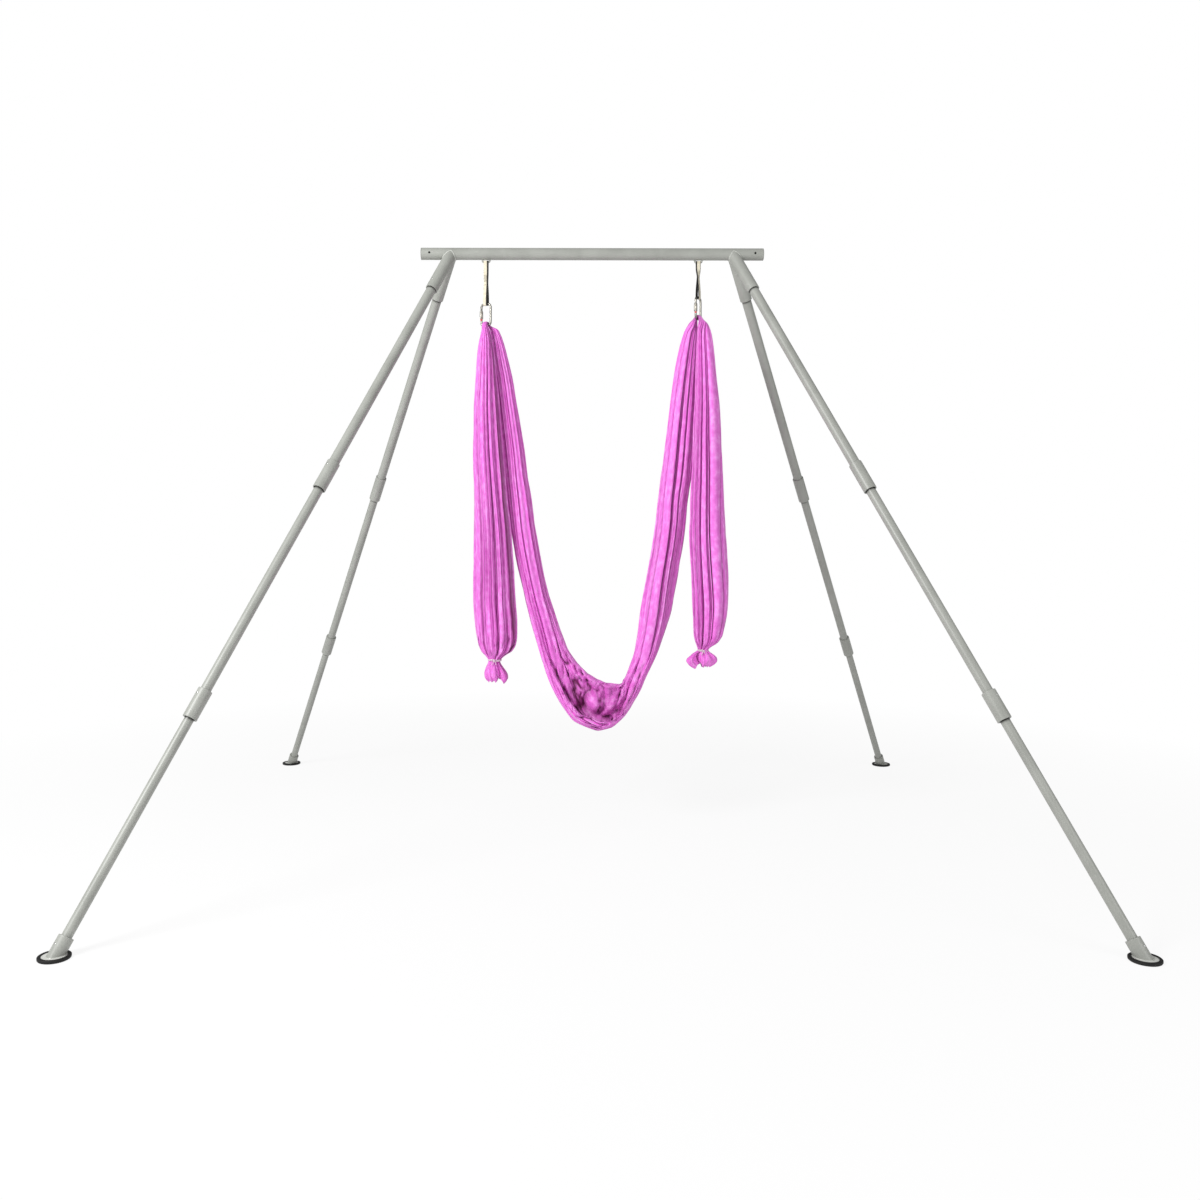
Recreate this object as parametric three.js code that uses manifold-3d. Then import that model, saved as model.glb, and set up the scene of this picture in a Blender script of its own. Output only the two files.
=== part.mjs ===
// A free-standing aerial rig: a top beam on four splayed, sectioned legs, and a
// silk hammock hung from the beam by two webbing loops and two screw carabiners.
// Millimetres, +Z up, origin on the floor under the middle of the beam, front -Y.

import * as THREE from 'three';
import { mergeVertices } from 'three/addons/utils/BufferGeometryUtils.js';
import Module from 'manifold-3d';

const wasm = await Module();
wasm.setup();

// Clearances.
const fitGap = 0.3;
const slideGap = 0.4;
const strapGap = 0.8;
const cutOverrun = 2;

// Top beam, its end plugs and the two hanging eyes.
const beamAxisHeight = 2920;
const beamLength = 1719;
const beamDiameter = 60;
const beamWall = 2.5;
const beamHoleDiameter = 11;
const beamHoleInset = 41;
const plugFlange = 2.7;
const plugDepth = 22;
const plugWall = 2.5;
const eyeSpacing = 1070;
const eyeRodDiameter = 8;
const eyeSideGap = 1.5;
const eyeClearHeight = 7;
const eyeBendRadius = 5;

// Legs. A station is a distance down the leg from the beam's axis.
const legRootInset = 149.5;
const footSpanX = 3862;
const footSpanY = 3220;
const socketDiameter = 60;
const socketTubeStation = 85;
const socketInsert = 165;
const socketButtonRise = 50;
const upperTubeDiameter = 48;
const upperTubeWall = 2;
const middleTubeWall = 1.6;
const lowerTubeWall = 1.6;
const collarDiameter = 59;
const collarLip = 20;
const upperCollarStation = 1333;
const upperCollarLength = 146;
const lowerCollarStation = 2481;
const lowerCollarLength = 125;
const tubeInsert = 60;

// Feet.
const footSocketDiameter = 57;
const footSocketReach = 78;
const footButtonReach = 44;
const footPlateThickness = 5.5;
const cupRim = 12.5;
const cupWall = 6.7;
const cupFloor = 4;
const cupLipThickness = 2;
const cupLipGap = 0.6;

// Snap buttons, each on the front leaf of its spring clip.
const buttonDiameter = 9;
const buttonHoleGap = 0.5;
const buttonWellDiameter = 13;
const buttonProud = 1;
const buttonDome = 2.5;
const buttonBelowShoulder = 24;
const leafWidth = 10;
const leafThickness = 1;
const leafLength = 40;

// Webbing loops.
const strapWidth = 25;
const strapPly = 2;
const leftStrapDrop = 212;
const rightStrapDrop = 177;
const strapEyeNeck = 18;
const strapLoopNeck = 105;

// Screw carabiners, hinge at the top, gate to the left.
const carabinerHeight = 120;
const carabinerRod = 11;
const carabinerBend = 18;
const crownOverhang = 3;
const gateShoulder = 24;
const noseRise = 26;
const gatePinGap = 0.5;
const gatePinDiameter = 3;
const gateTang = 4;
const tangWidth = 8.4;
const tangReach = 3.2;
const noseSlotReach = 10.5;
const sleeveDiameter = 17;
const sleeveTopGap = 11;
const sleeveBottomGap = 10;
const leftCarabinerYaw = THREE.MathUtils.degToRad(-28);
const rightCarabinerYaw = THREE.MathUtils.degToRad(57);

// Silk hammock.
const seatHeight = 525;
const saddleThickness = 16;
const saddleWidth = 36;
const saddleGap = 1;
const saddleLeg = 46;
const armWidth = 130;
const armDepth = 110;
const pocketRise = 250;
const pocketDepth = 240;
const leftTailWidth = 212;
const rightTailWidth = 192;
const tailDepth = 120;
const leftTailEnd = 760;
const rightTailEnd = 836;
const foldDepth = 7;
const foldLimitShare = 0.25;
const tieCord = 4;
const tieKnotRadius = 5;

// The hollow of the seat: its half sizes and its place, as shares of the seat's sizes.
const hollowWidthShare = 0.95;
const hollowDepthShare = 0.38;
const hollowHeightShare = 0.72;
const hollowRiseShare = 1.06;
const hollowDriftShare = 0.11;
const hollowSetbackShare = 0.2;
const hollowTip = THREE.MathUtils.degToRad(30);

// Facet counts.
const tubeFacets = 16;
const rodFacets = 8;
const bendSteps = 16;
const domeSteps = 3;
const foldCount = 4;
const foldFacets = 4;

// Worked out from the sizes above.
const beamRadius = beamDiameter / 2;
const eyeX = eyeSpacing / 2;
const facetShare = Math.cos(Math.PI / tubeFacets);
const eyeBarHeight = beamAxisHeight - beamRadius - eyeClearHeight - eyeRodDiameter / 2;
const legRootX = beamLength / 2 - legRootInset;
const legRunX = footSpanX / 2 - legRootX;
const legRunY = footSpanY / 2;
const legRun = Math.hypot(legRunX, legRunY);
const legLength = Math.hypot(legRun, beamAxisHeight);
const legTilt = Math.atan2(legRun, beamAxisHeight);
const legHeading = Math.atan2(legRunY, legRunX);
const upperTubeRadius = upperTubeDiameter / 2;
const middleTubeRadius = upperTubeRadius - upperTubeWall - slideGap;
const lowerTubeRadius = middleTubeRadius - middleTubeWall - slideGap;
const upperButtonStation = upperCollarStation + buttonBelowShoulder;
const lowerButtonStation = lowerCollarStation + buttonBelowShoulder;
const socketReach = socketTubeStation + socketInsert;
const socketButtonStation = socketReach - socketButtonRise;
const socketBoreRadius = (upperTubeRadius + slideGap) / facetShare;
const buttonHoleRadius = buttonDiameter / 2 + buttonHoleGap;
const buttonWellRadius = buttonWellDiameter / 2;
const footPlateTop = cupFloor + fitGap + footPlateThickness;
const cupTop = footPlateTop + fitGap + cupLipThickness;
const sleeveFootprint = footSocketDiameter / 2 / Math.cos(legTilt) + cupTop * Math.tan(legTilt);
const cupLipRadius = (sleeveFootprint + cupLipGap) / facetShare;
const cupRadius = cupLipRadius + cupRim;
const cupInnerRadius = cupRadius - cupWall;
const footBoreRadius = (lowerTubeRadius + slideGap) / facetShare;
const footStop = (footPlateTop + footBoreRadius * Math.sin(legTilt)) / Math.cos(legTilt) + fitGap;
const rodRadius = carabinerRod / 2;
const crownHalfWidth = strapWidth / 2 - crownOverhang + carabinerBend;
const bowDrop = carabinerHeight - carabinerRod;
const gateLength = bowDrop - gateShoulder - noseRise;
const gatePinDrop = rodRadius + gatePinGap;
const sleeveLength = gateLength - sleeveTopGap - sleeveBottomGap;
const leftCrownHeight = eyeBarHeight - leftStrapDrop;
const rightCrownHeight = eyeBarHeight - rightStrapDrop;

// Colours, roughness and metalness, from the photograph.
const finishes = {
  frame: { color: 0xaaaca6, roughness: 0.42, metalness: 0.35 },
  plug: { color: 0x9b9d98, roughness: 0.6, metalness: 0 },
  rubber: { color: 0x161616, roughness: 0.8, metalness: 0 },
  button: { color: 0xc4c6c8, roughness: 0.3, metalness: 0.9 },
  webbing: { color: 0xe6e0cf, roughness: 0.85, metalness: 0 },
  carabiner: { color: 0x8f9194, roughness: 0.2, metalness: 0.95 },
  sleeve: { color: 0xcfccc0, roughness: 0.4, metalness: 0.6 },
  silk: { color: 0xdd63cf, roughness: 0.38, metalness: 0 },
  string: { color: 0xeae4da, roughness: 0.8, metalness: 0 },
};

// The volume inside a triangle mesh, negative where its faces point inwards.
function signedVolume(position, index) {
  const a = new THREE.Vector3();
  const b = new THREE.Vector3();
  const c = new THREE.Vector3();
  let volume = 0;
  for (let i = 0; i < index.length; i += 3) {
    a.fromArray(position, index[i] * 3);
    b.fromArray(position, index[i + 1] * 3);
    c.fromArray(position, index[i + 2] * 3);
    volume += a.dot(b.cross(c)) / 6;
  }
  return volume;
}

// A solid for cutting and joining, from a closed geometry.
function toSolid(geometry) {
  const bare = geometry.clone();
  bare.deleteAttribute('normal');
  bare.deleteAttribute('uv');
  const merged = mergeVertices(bare);
  const position = merged.attributes.position.array;
  const index = Uint32Array.from(merged.index.array);
  if (signedVolume(position, index) < 0) index.reverse();
  const mesh = new wasm.Mesh({ numProp: 3, vertProperties: position, triVerts: index });
  return new wasm.Manifold(mesh);
}

// The geometry of a finished solid.
function toGeometry(solid) {
  const mesh = solid.getMesh();
  const geometry = new THREE.BufferGeometry();
  geometry.setAttribute('position', new THREE.BufferAttribute(mesh.vertProperties, 3));
  geometry.setIndex(new THREE.BufferAttribute(mesh.triVerts, 1));
  geometry.computeVertexNormals();
  return geometry;
}

// A named mesh with a material of its own.
function piece(name, solid, finish) {
  const mesh = new THREE.Mesh(toGeometry(solid), new THREE.MeshStandardMaterial(finishes[finish]));
  mesh.name = name;
  return mesh;
}

// A plain round bar between two points.
function bar(radius, from, to, facets) {
  const run = new THREE.Vector3().subVectors(to, from);
  const geometry = new THREE.CylinderGeometry(radius, radius, run.length(), facets);
  const up = new THREE.Vector3(0, 1, 0);
  geometry.applyQuaternion(new THREE.Quaternion().setFromUnitVectors(up, run.normalize()));
  geometry.translate((from.x + to.x) / 2, (from.y + to.y) / 2, (from.z + to.z) / 2);
  return toSolid(geometry);
}

// A round tube standing on the Z axis between two heights.
function tube(outerRadius, innerRadius, bottom, top) {
  const outline = new THREE.Shape();
  outline.absarc(0, 0, outerRadius, 0, Math.PI * 2);
  const bore = new THREE.Path();
  bore.absarc(0, 0, innerRadius, 0, Math.PI * 2);
  outline.holes.push(bore);
  const options = { depth: top - bottom, bevelEnabled: false, curveSegments: tubeFacets / 2 };
  return toSolid(new THREE.ExtrudeGeometry(outline, options).translate(0, 0, bottom));
}

// A solid turned about the Z axis from a closed profile of [radius, height] points.
function turned(profile, facets) {
  const points = profile.map(([radius, height]) => new THREE.Vector2(radius, height));
  return toSolid(new THREE.LatheGeometry(points, facets).rotateX(Math.PI / 2));
}

// A flat outline in the XZ plane, made a plate of the given thickness about y = 0.
function plate(outline, thickness, facets) {
  const options = { depth: thickness, bevelEnabled: false, curveSegments: facets / 2 };
  const geometry = new THREE.ExtrudeGeometry(outline, options);
  return toSolid(geometry.translate(0, 0, -thickness / 2).rotateX(Math.PI / 2));
}

// A round rod that follows a path.
function rodAlong(path, radius, steps, facets) {
  const outline = new THREE.Shape();
  outline.absarc(0, 0, radius, 0, Math.PI * 2);
  const options = { steps, bevelEnabled: false, extrudePath: path, curveSegments: facets / 2 };
  return toSolid(new THREE.ExtrudeGeometry(outline, options));
}

// A bend in the XZ plane, for the paths of bent rods.
class BendCurve extends THREE.Curve {
  constructor(centreX, centreZ, radius, startAngle, endAngle) {
    super();
    this.centreX = centreX;
    this.centreZ = centreZ;
    this.radius = radius;
    this.startAngle = startAngle;
    this.endAngle = endAngle;
  }

  getPoint(share, target = new THREE.Vector3()) {
    const angle = THREE.MathUtils.lerp(this.startAngle, this.endAngle, share);
    const x = this.centreX + this.radius * Math.cos(angle);
    return target.set(x, 0, this.centreZ + this.radius * Math.sin(angle));
  }
}

// A straight stretch in the XZ plane.
function straight(fromX, fromZ, toX, toZ) {
  return new THREE.LineCurve3(new THREE.Vector3(fromX, 0, fromZ), new THREE.Vector3(toX, 0, toZ));
}

function pathOf(...curves) {
  const path = new THREE.CurvePath();
  curves.forEach((curve) => path.add(curve));
  return path;
}

// The top beam.

// One hanging eye: a staple of round rod, its feet welded in the beam's wall.
function staple(x) {
  const halfWidth = strapWidth / 2 + eyeSideGap + eyeRodDiameter / 2;
  const footHeight = beamAxisHeight - beamRadius + beamWall / 2;
  const bendHeight = eyeBarHeight + eyeBendRadius;
  const innerHalf = halfWidth - eyeBendRadius;
  const path = pathOf(
    straight(-halfWidth, footHeight, -halfWidth, bendHeight),
    new BendCurve(-innerHalf, bendHeight, eyeBendRadius, Math.PI, Math.PI * 1.5),
    straight(-innerHalf, eyeBarHeight, innerHalf, eyeBarHeight),
    new BendCurve(innerHalf, bendHeight, eyeBendRadius, Math.PI * 1.5, Math.PI * 2),
    straight(halfWidth, bendHeight, halfWidth, footHeight),
  );
  return rodAlong(path, eyeRodDiameter / 2, bendSteps, rodFacets).translate([x, 0, 0]);
}

function beamTube(radius, innerRadius) {
  const half = beamLength / 2;
  const standing = tube(radius, innerRadius, -half, half);
  return standing.rotate([0, 90, 0]).translate([0, 0, beamAxisHeight]);
}

function beamHole(x) {
  const reach = beamRadius + cutOverrun;
  const front = new THREE.Vector3(x, -reach, beamAxisHeight);
  const back = new THREE.Vector3(x, reach, beamAxisHeight);
  return bar(beamHoleDiameter / 2, front, back, rodFacets);
}

function topBeam() {
  const holeX = beamLength / 2 - beamHoleInset;
  return beamTube(beamRadius, beamRadius - beamWall)
    .add(staple(-eyeX))
    .add(staple(eyeX))
    .subtract(beamHole(-holeX))
    .subtract(beamHole(holeX));
}

// A push-in end plug, hollow behind its flange, pointing along +Z.
function beamPlug() {
  const spigot = beamRadius - beamWall - fitGap;
  const profile = [
    [0, fitGap],
    [0, fitGap + plugFlange],
    [beamRadius, fitGap + plugFlange],
    [beamRadius, fitGap],
    [spigot, fitGap],
    [spigot, -plugDepth],
    [spigot - plugWall, -plugDepth],
    [spigot - plugWall, fitGap],
    [0, fitGap],
  ];
  return turned(profile, tubeFacets);
}

// Leg sockets: two tubes that meet in a V under the beam, coped round it and bored
// for the legs. The origin is on the beam's axis and the V leans towards +X.

function legDirection(side) {
  return new THREE.Vector3(legRunX, side * legRunY, -beamAxisHeight).normalize();
}

function socketBar(radius, side, from, to) {
  const direction = legDirection(side);
  return bar(
    radius,
    direction.clone().multiplyScalar(from),
    direction.clone().multiplyScalar(to),
    tubeFacets,
  );
}

// The hole for a snap button, square to the leg on its outward and upward side.
function socketWell(side) {
  const direction = legDirection(side);
  const outward = new THREE.Vector3(legRunX, side * legRunY, 0).normalize();
  const normal = outward.addScaledVector(direction, -outward.dot(direction)).normalize();
  const from = direction.clone().multiplyScalar(socketButtonStation);
  const to = from.clone().addScaledVector(normal, socketDiameter / 2 + cutOverrun);
  return bar(buttonWellRadius, from, to, rodFacets);
}

// The walls start far enough down that their top rims stay inside the cope's flats.
function socketPair() {
  const wallStart = beamRadius * Math.sin(Math.PI / tubeFacets);
  const boreEnd = socketReach + cutOverrun;
  const beamReach = beamRadius + fitGap;
  const beamEnd = new THREE.Vector3(socketReach, 0, 0);
  const beamClear = bar(beamReach, beamEnd.clone().negate(), beamEnd, tubeFacets);
  return socketBar(socketDiameter / 2, -1, wallStart, socketReach)
    .add(socketBar(socketDiameter / 2, 1, wallStart, socketReach))
    .subtract(socketBar(socketBoreRadius, -1, 0, boreEnd))
    .subtract(socketBar(socketBoreRadius, 1, 0, boreEnd))
    .subtract(socketWell(-1))
    .subtract(socketWell(1))
    .subtract(beamClear);
}

// Leg sections. The origin is the foot's centre on the floor, +Z runs up the leg and
// +X is the leg's outward and upward side, where the buttons are.

function heightOf(station) {
  return legLength - station;
}

function sideHole(radius, height, reach) {
  const from = new THREE.Vector3(0, 0, height);
  const to = new THREE.Vector3(reach + cutOverrun, 0, height);
  return bar(radius, from, to, rodFacets);
}

function legTube(radius, wall, bottom, top, holeHeights) {
  let solid = tube(radius, radius - wall, bottom, top);
  for (const height of holeHeights) {
    solid = solid.subtract(sideHole(buttonHoleRadius, height, radius));
  }
  return solid;
}

function upperTube() {
  const bottom = heightOf(upperCollarStation + upperCollarLength - collarLip);
  const top = heightOf(socketTubeStation);
  const holes = [heightOf(socketButtonStation), heightOf(upperButtonStation)];
  return legTube(upperTubeRadius, upperTubeWall, bottom, top, holes);
}

function middleTube() {
  const bottom = heightOf(lowerCollarStation + lowerCollarLength - collarLip);
  const top = heightOf(upperButtonStation - tubeInsert);
  const holes = [heightOf(upperButtonStation), heightOf(lowerButtonStation)];
  return legTube(middleTubeRadius, middleTubeWall, bottom, top, holes);
}

function lowerTube() {
  const top = heightOf(lowerButtonStation - tubeInsert);
  const holes = [heightOf(lowerButtonStation), footButtonReach];
  return legTube(lowerTubeRadius, lowerTubeWall, footStop + fitGap, top, holes);
}

// A collar is welded round the lower end of one tube and takes the next one.
function collar(tubeRadius, station, length) {
  const radius = collarDiameter / 2;
  return tube(radius, tubeRadius + fitGap, heightOf(station + length), heightOf(station))
    .subtract(sideHole(buttonWellRadius, heightOf(station + buttonBelowShoulder), radius));
}

// A snap button at the given height, on a leaf inside a tube of the given bore. The
// leaf lies as near the wall as the bore's facets let it.
function snapButton(height, boreRadius, outerRadius) {
  const facetDip = leafWidth / 2 * Math.tan(Math.PI / tubeFacets);
  const leafFace = boreRadius - facetDip - fitGap;
  const radius = buttonDiameter / 2;
  const tip = outerRadius + buttonProud;
  const shoulder = tip - buttonDome;
  const profile = [
    [0, leafFace - leafThickness],
    [radius, leafFace - leafThickness],
  ];
  for (let step = 0; step < domeSteps; step += 1) {
    const turn = (Math.PI / 2) * (step / domeSteps);
    profile.push([radius * Math.cos(turn), shoulder + buttonDome * Math.sin(turn)]);
  }
  profile.push([0, tip]);
  const stem = turned(profile, rodFacets).rotate([0, 90, 0]);
  const leafReach = leafLength + leafWidth / 2;
  const leaf = new THREE.BoxGeometry(leafThickness, leafWidth, leafReach);
  leaf.translate(leafFace - leafThickness / 2, 0, (leafReach - leafWidth) / 2);
  return stem.add(toSolid(leaf)).translate([0, 0, height]);
}

// Feet, standing level. +X is the direction in which the leg leans out.

function slopedBar(radius, from, to) {
  const up = new THREE.Vector3(-Math.sin(legTilt), 0, Math.cos(legTilt));
  return bar(radius, up.clone().multiplyScalar(from), up.clone().multiplyScalar(to), tubeFacets);
}

function footWell() {
  const up = new THREE.Vector3(-Math.sin(legTilt), 0, Math.cos(legTilt));
  const normal = new THREE.Vector3(Math.cos(legTilt), 0, Math.sin(legTilt));
  const from = up.multiplyScalar(footButtonReach);
  const to = from.clone().addScaledVector(normal, footSocketDiameter / 2 + cutOverrun);
  return bar(buttonWellRadius, from, to, rodFacets);
}

// A sloping sleeve welded on a round plate and cut flat under it.
function footSocket() {
  const plateRadius = cupInnerRadius - fitGap;
  const plateBottom = cupFloor + fitGap;
  const plateBody = turned([
    [0, plateBottom],
    [plateRadius, plateBottom],
    [plateRadius, footPlateTop],
    [0, footPlateTop],
  ], tubeFacets);
  const under = new THREE.BoxGeometry(cupRadius * 2, cupRadius * 2, cupRadius * 2);
  under.translate(0, 0, plateBottom + fitGap - cupRadius);
  return slopedBar(footSocketDiameter / 2, 0, footSocketReach)
    .subtract(toSolid(under))
    .add(plateBody)
    .subtract(slopedBar(footBoreRadius, footStop, footSocketReach + cutOverrun))
    .subtract(footWell());
}

function footCup() {
  const lipBottom = footPlateTop + fitGap;
  return turned([
    [0, 0],
    [cupRadius, 0],
    [cupRadius, cupTop],
    [cupLipRadius, cupTop],
    [cupLipRadius, lipBottom],
    [cupInnerRadius, lipBottom],
    [cupInnerRadius, cupFloor],
    [0, cupFloor],
  ], tubeFacets);
}

// Webbing loops. The origin is the centre of the eye's bar, and the loop hangs down.

function strapOutline(drop) {
  const eyeRadius = eyeRodDiameter / 2 + strapGap + strapPly;
  const loopRadius = rodRadius + strapGap + strapPly;
  const eyeNeck = -strapEyeNeck;
  const loopNeck = strapLoopNeck - drop;
  const twistSteps = foldCount;
  const outline = new THREE.Shape();
  outline.absarc(0, 0, eyeRadius, 0, Math.PI);
  outline.lineTo(-strapPly, eyeNeck);
  for (let step = 1; step <= twistSteps; step += 1) {
    outline.lineTo(-strapPly, THREE.MathUtils.lerp(eyeNeck, loopNeck, step / twistSteps));
  }
  outline.absarc(0, -drop, loopRadius, Math.PI, Math.PI * 2);
  outline.lineTo(strapPly, loopNeck);
  for (let step = twistSteps - 1; step >= 0; step -= 1) {
    outline.lineTo(strapPly, THREE.MathUtils.lerp(eyeNeck, loopNeck, step / twistSteps));
  }
  return outline;
}

// The space inside a loop: round the rod, and drawn in to where the plies meet.
function loopSpace(radius, centre, neck) {
  const outline = new THREE.Shape();
  const facing = Math.sign(neck - centre);
  outline.absarc(0, centre, radius, 0, -facing * Math.PI, facing > 0);
  outline.lineTo(0, neck);
  return outline;
}

// Webbing is 25 wide along X at the eye, and turns with the carabiner on the way down.
function strap(drop, yaw) {
  const width = strapWidth;
  const geometry = new THREE.ExtrudeGeometry(strapOutline(drop), {
    depth: width,
    bevelEnabled: false,
    curveSegments: rodFacets / 2,
  });
  geometry.translate(0, 0, -width / 2).rotateX(Math.PI / 2).rotateZ(Math.PI / 2);
  const position = geometry.attributes.position;
  const point = new THREE.Vector3();
  const upright = new THREE.Vector3(0, 0, 1);
  for (let i = 0; i < position.count; i += 1) {
    point.fromBufferAttribute(position, i);
    const share = THREE.MathUtils.smoothstep(-point.z, strapEyeNeck, drop - strapLoopNeck);
    point.applyAxisAngle(upright, yaw * share);
    position.setXYZ(i, point.x, point.y, point.z);
  }
  const spaceWidth = strapWidth + cutOverrun * 2;
  const eyeSpace = plate(
    loopSpace(eyeRodDiameter / 2 + strapGap, 0, -strapEyeNeck + strapPly),
    spaceWidth,
    rodFacets,
  );
  const loopHole = plate(
    loopSpace(rodRadius + strapGap, -drop, strapLoopNeck - strapPly - drop),
    spaceWidth,
    rodFacets,
  );
  return toSolid(geometry)
    .subtract(eyeSpace.rotate([0, 0, 90]))
    .subtract(loopHole.rotate([0, 0, 90 + THREE.MathUtils.radToDeg(yaw)]));
}

// Carabiners. The origin is the middle of the top bow's centre line.

function tang(fromZ, toZ) {
  const half = tangWidth / 2;
  const outline = new THREE.Shape();
  const facing = Math.sign(toZ - fromZ);
  outline.moveTo(half, fromZ);
  outline.absarc(0, toZ, half, 0, facing * Math.PI, facing < 0);
  outline.lineTo(-half, fromZ);
  return plate(outline, gateTang, rodFacets).translate([-crownHalfWidth, 0, 0]);
}

// A bent rod, open where the gate closes it, with a flat tang at each end.
function carabinerBody(radius) {
  const side = crownHalfWidth;
  const bend = carabinerBend;
  const inner = side - bend;
  const nose = gateShoulder + gateLength + fitGap;
  const quarter = Math.PI / 2;
  const path = pathOf(
    straight(-side, -gateShoulder, -side, -bend),
    new BendCurve(-inner, -bend, bend, quarter * 2, quarter),
    straight(-inner, 0, inner, 0),
    new BendCurve(inner, -bend, bend, quarter, 0),
    straight(side, -bend, side, bend - bowDrop),
    new BendCurve(inner, bend - bowDrop, bend, 0, -quarter),
    straight(inner, -bowDrop, -inner, -bowDrop),
    new BendCurve(-inner, bend - bowDrop, bend, -quarter, -quarter * 2),
    straight(-side, bend - bowDrop, -side, -nose),
  );
  return rodAlong(path, radius, bendSteps * 2, rodFacets);
}

function hingedBody() {
  const pinZ = -gateShoulder - gatePinDrop;
  const nose = -gateShoulder - gateLength - fitGap;
  const pinHalf = rodRadius - fitGap * 2;
  const pinFrom = new THREE.Vector3(-crownHalfWidth, -pinHalf, pinZ);
  const pinTo = new THREE.Vector3(-crownHalfWidth, pinHalf, pinZ);
  return carabinerBody(rodRadius)
    .add(tang(cutOverrun - gateShoulder, pinZ))
    .add(tang(nose - cutOverrun, nose + tangReach))
    .add(bar(gatePinDiameter / 2, pinFrom, pinTo, rodFacets));
}

// A straight rod with a fork at each end, one on the hinge pin and one over the nose.
function gate() {
  const pinZ = -gateShoulder - gatePinDrop;
  const bottom = -gateShoulder - gateLength;
  const slot = gateTang + fitGap * 2;
  const round = rodRadius + fitGap / 2;
  const outline = new THREE.Shape();
  outline.moveTo(-round, bottom);
  outline.lineTo(round, bottom);
  outline.absarc(0, pinZ, round, 0, Math.PI);
  const across = carabinerRod + cutOverrun;
  const hingeSlot = new THREE.BoxGeometry(across, slot, (gatePinDrop + tangReach) * 2);
  hingeSlot.translate(0, 0, pinZ);
  const noseSlot = new THREE.BoxGeometry(across, slot, noseSlotReach * 2);
  noseSlot.translate(0, 0, bottom);
  const rodFrom = new THREE.Vector3(0, 0, bottom);
  const rodTo = new THREE.Vector3(0, 0, pinZ + carabinerRod);
  const holeFrom = new THREE.Vector3(0, -carabinerRod, pinZ);
  const holeTo = new THREE.Vector3(0, carabinerRod, pinZ);
  return bar(rodRadius, rodFrom, rodTo, rodFacets)
    .intersect(plate(outline, across, rodFacets))
    .subtract(toSolid(hingeSlot))
    .subtract(toSolid(noseSlot))
    .subtract(bar(gatePinDiameter / 2 + fitGap, holeFrom, holeTo, rodFacets))
    .translate([-crownHalfWidth, 0, 0]);
}

function lockSleeve() {
  const top = -gateShoulder - sleeveTopGap;
  return tube(sleeveDiameter / 2, rodRadius + slideGap, top - sleeveLength, top)
    .translate([-crownHalfWidth, 0, 0]);
}

// How far the silk's folds stand out or in at an angle round a section.
function foldAt(angle, halfSide, halfOut) {
  const limit = Math.min(halfSide, halfOut) * foldLimitShare;
  return Math.min(foldDepth, limit) * Math.cos(foldCount * angle);
}

// Silk. Each run is a unit cylinder bent along a row of sections. A section has a
// centre, a side direction, and its half sizes along the side and square to it. It
// is square to the run, or to a direction of its own.
function loft(sections) {
  const unitHalf = 0.5;
  const around = foldCount * foldFacets;
  const rows = sections.length - 1;
  const geometry = new THREE.CylinderGeometry(1, 1, 1, around, rows);
  const position = geometry.attributes.position;
  const frames = sections.map((section, row) => {
    const before = sections[Math.max(row - 1, 0)].centre;
    const after = sections[Math.min(row + 1, rows)].centre;
    const along = section.along ?? new THREE.Vector3().subVectors(after, before).normalize();
    const side = section.side.clone().addScaledVector(along, -section.side.dot(along)).normalize();
    return { side, out: new THREE.Vector3().crossVectors(along, side) };
  });
  for (let i = 0; i < position.count; i += 1) {
    const row = Math.round((unitHalf - position.getY(i)) * rows);
    const { centre, halfSide, halfOut } = sections[row];
    const angle = Math.atan2(position.getZ(i), position.getX(i));
    const fold = foldAt(angle, halfSide, halfOut);
    const point = centre.clone();
    point.addScaledVector(frames[row].side, position.getX(i) * (halfSide + fold));
    point.addScaledVector(frames[row].out, position.getZ(i) * (halfOut + fold));
    position.setXYZ(i, point.x, point.y, point.z);
  }
  return toSolid(geometry);
}

// The bunch that lies over a carabiner's bottom bow and drops on both sides of it.
function saddle(x, crownHeight, yaw) {
  const side = new THREE.Vector3(Math.cos(yaw), Math.sin(yaw), 0);
  const through = new THREE.Vector3(-Math.sin(yaw), Math.cos(yaw), 0);
  const radius = rodRadius + saddleGap + saddleThickness / 2;
  const bow = new THREE.Vector3(x, 0, crownHeight - bowDrop);
  const turnSteps = foldCount;
  const sections = [];
  const addSection = (out, up) => {
    const centre = bow.clone().addScaledVector(through, out);
    centre.z += up;
    sections.push({ centre, side, halfSide: saddleWidth / 2, halfOut: saddleThickness / 2 });
  };
  addSection(-radius, -saddleLeg);
  for (let step = 0; step <= turnSteps; step += 1) {
    const angle = Math.PI * (1 - step / turnSteps);
    addSection(radius * Math.cos(angle), radius * Math.sin(angle));
  }
  addSection(radius, -saddleLeg);
  return loft(sections);
}

// Where a run leaves the saddle: 1 at the back, where the seat hangs, -1 at the front.
function saddleExit(x, crownHeight, yaw, facing) {
  const reach = facing * (rodRadius + saddleGap + saddleThickness / 2);
  const height = crownHeight - bowDrop - saddleLeg / 2;
  return new THREE.Vector3(x - reach * Math.sin(yaw), reach * Math.cos(yaw), height);
}

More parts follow.
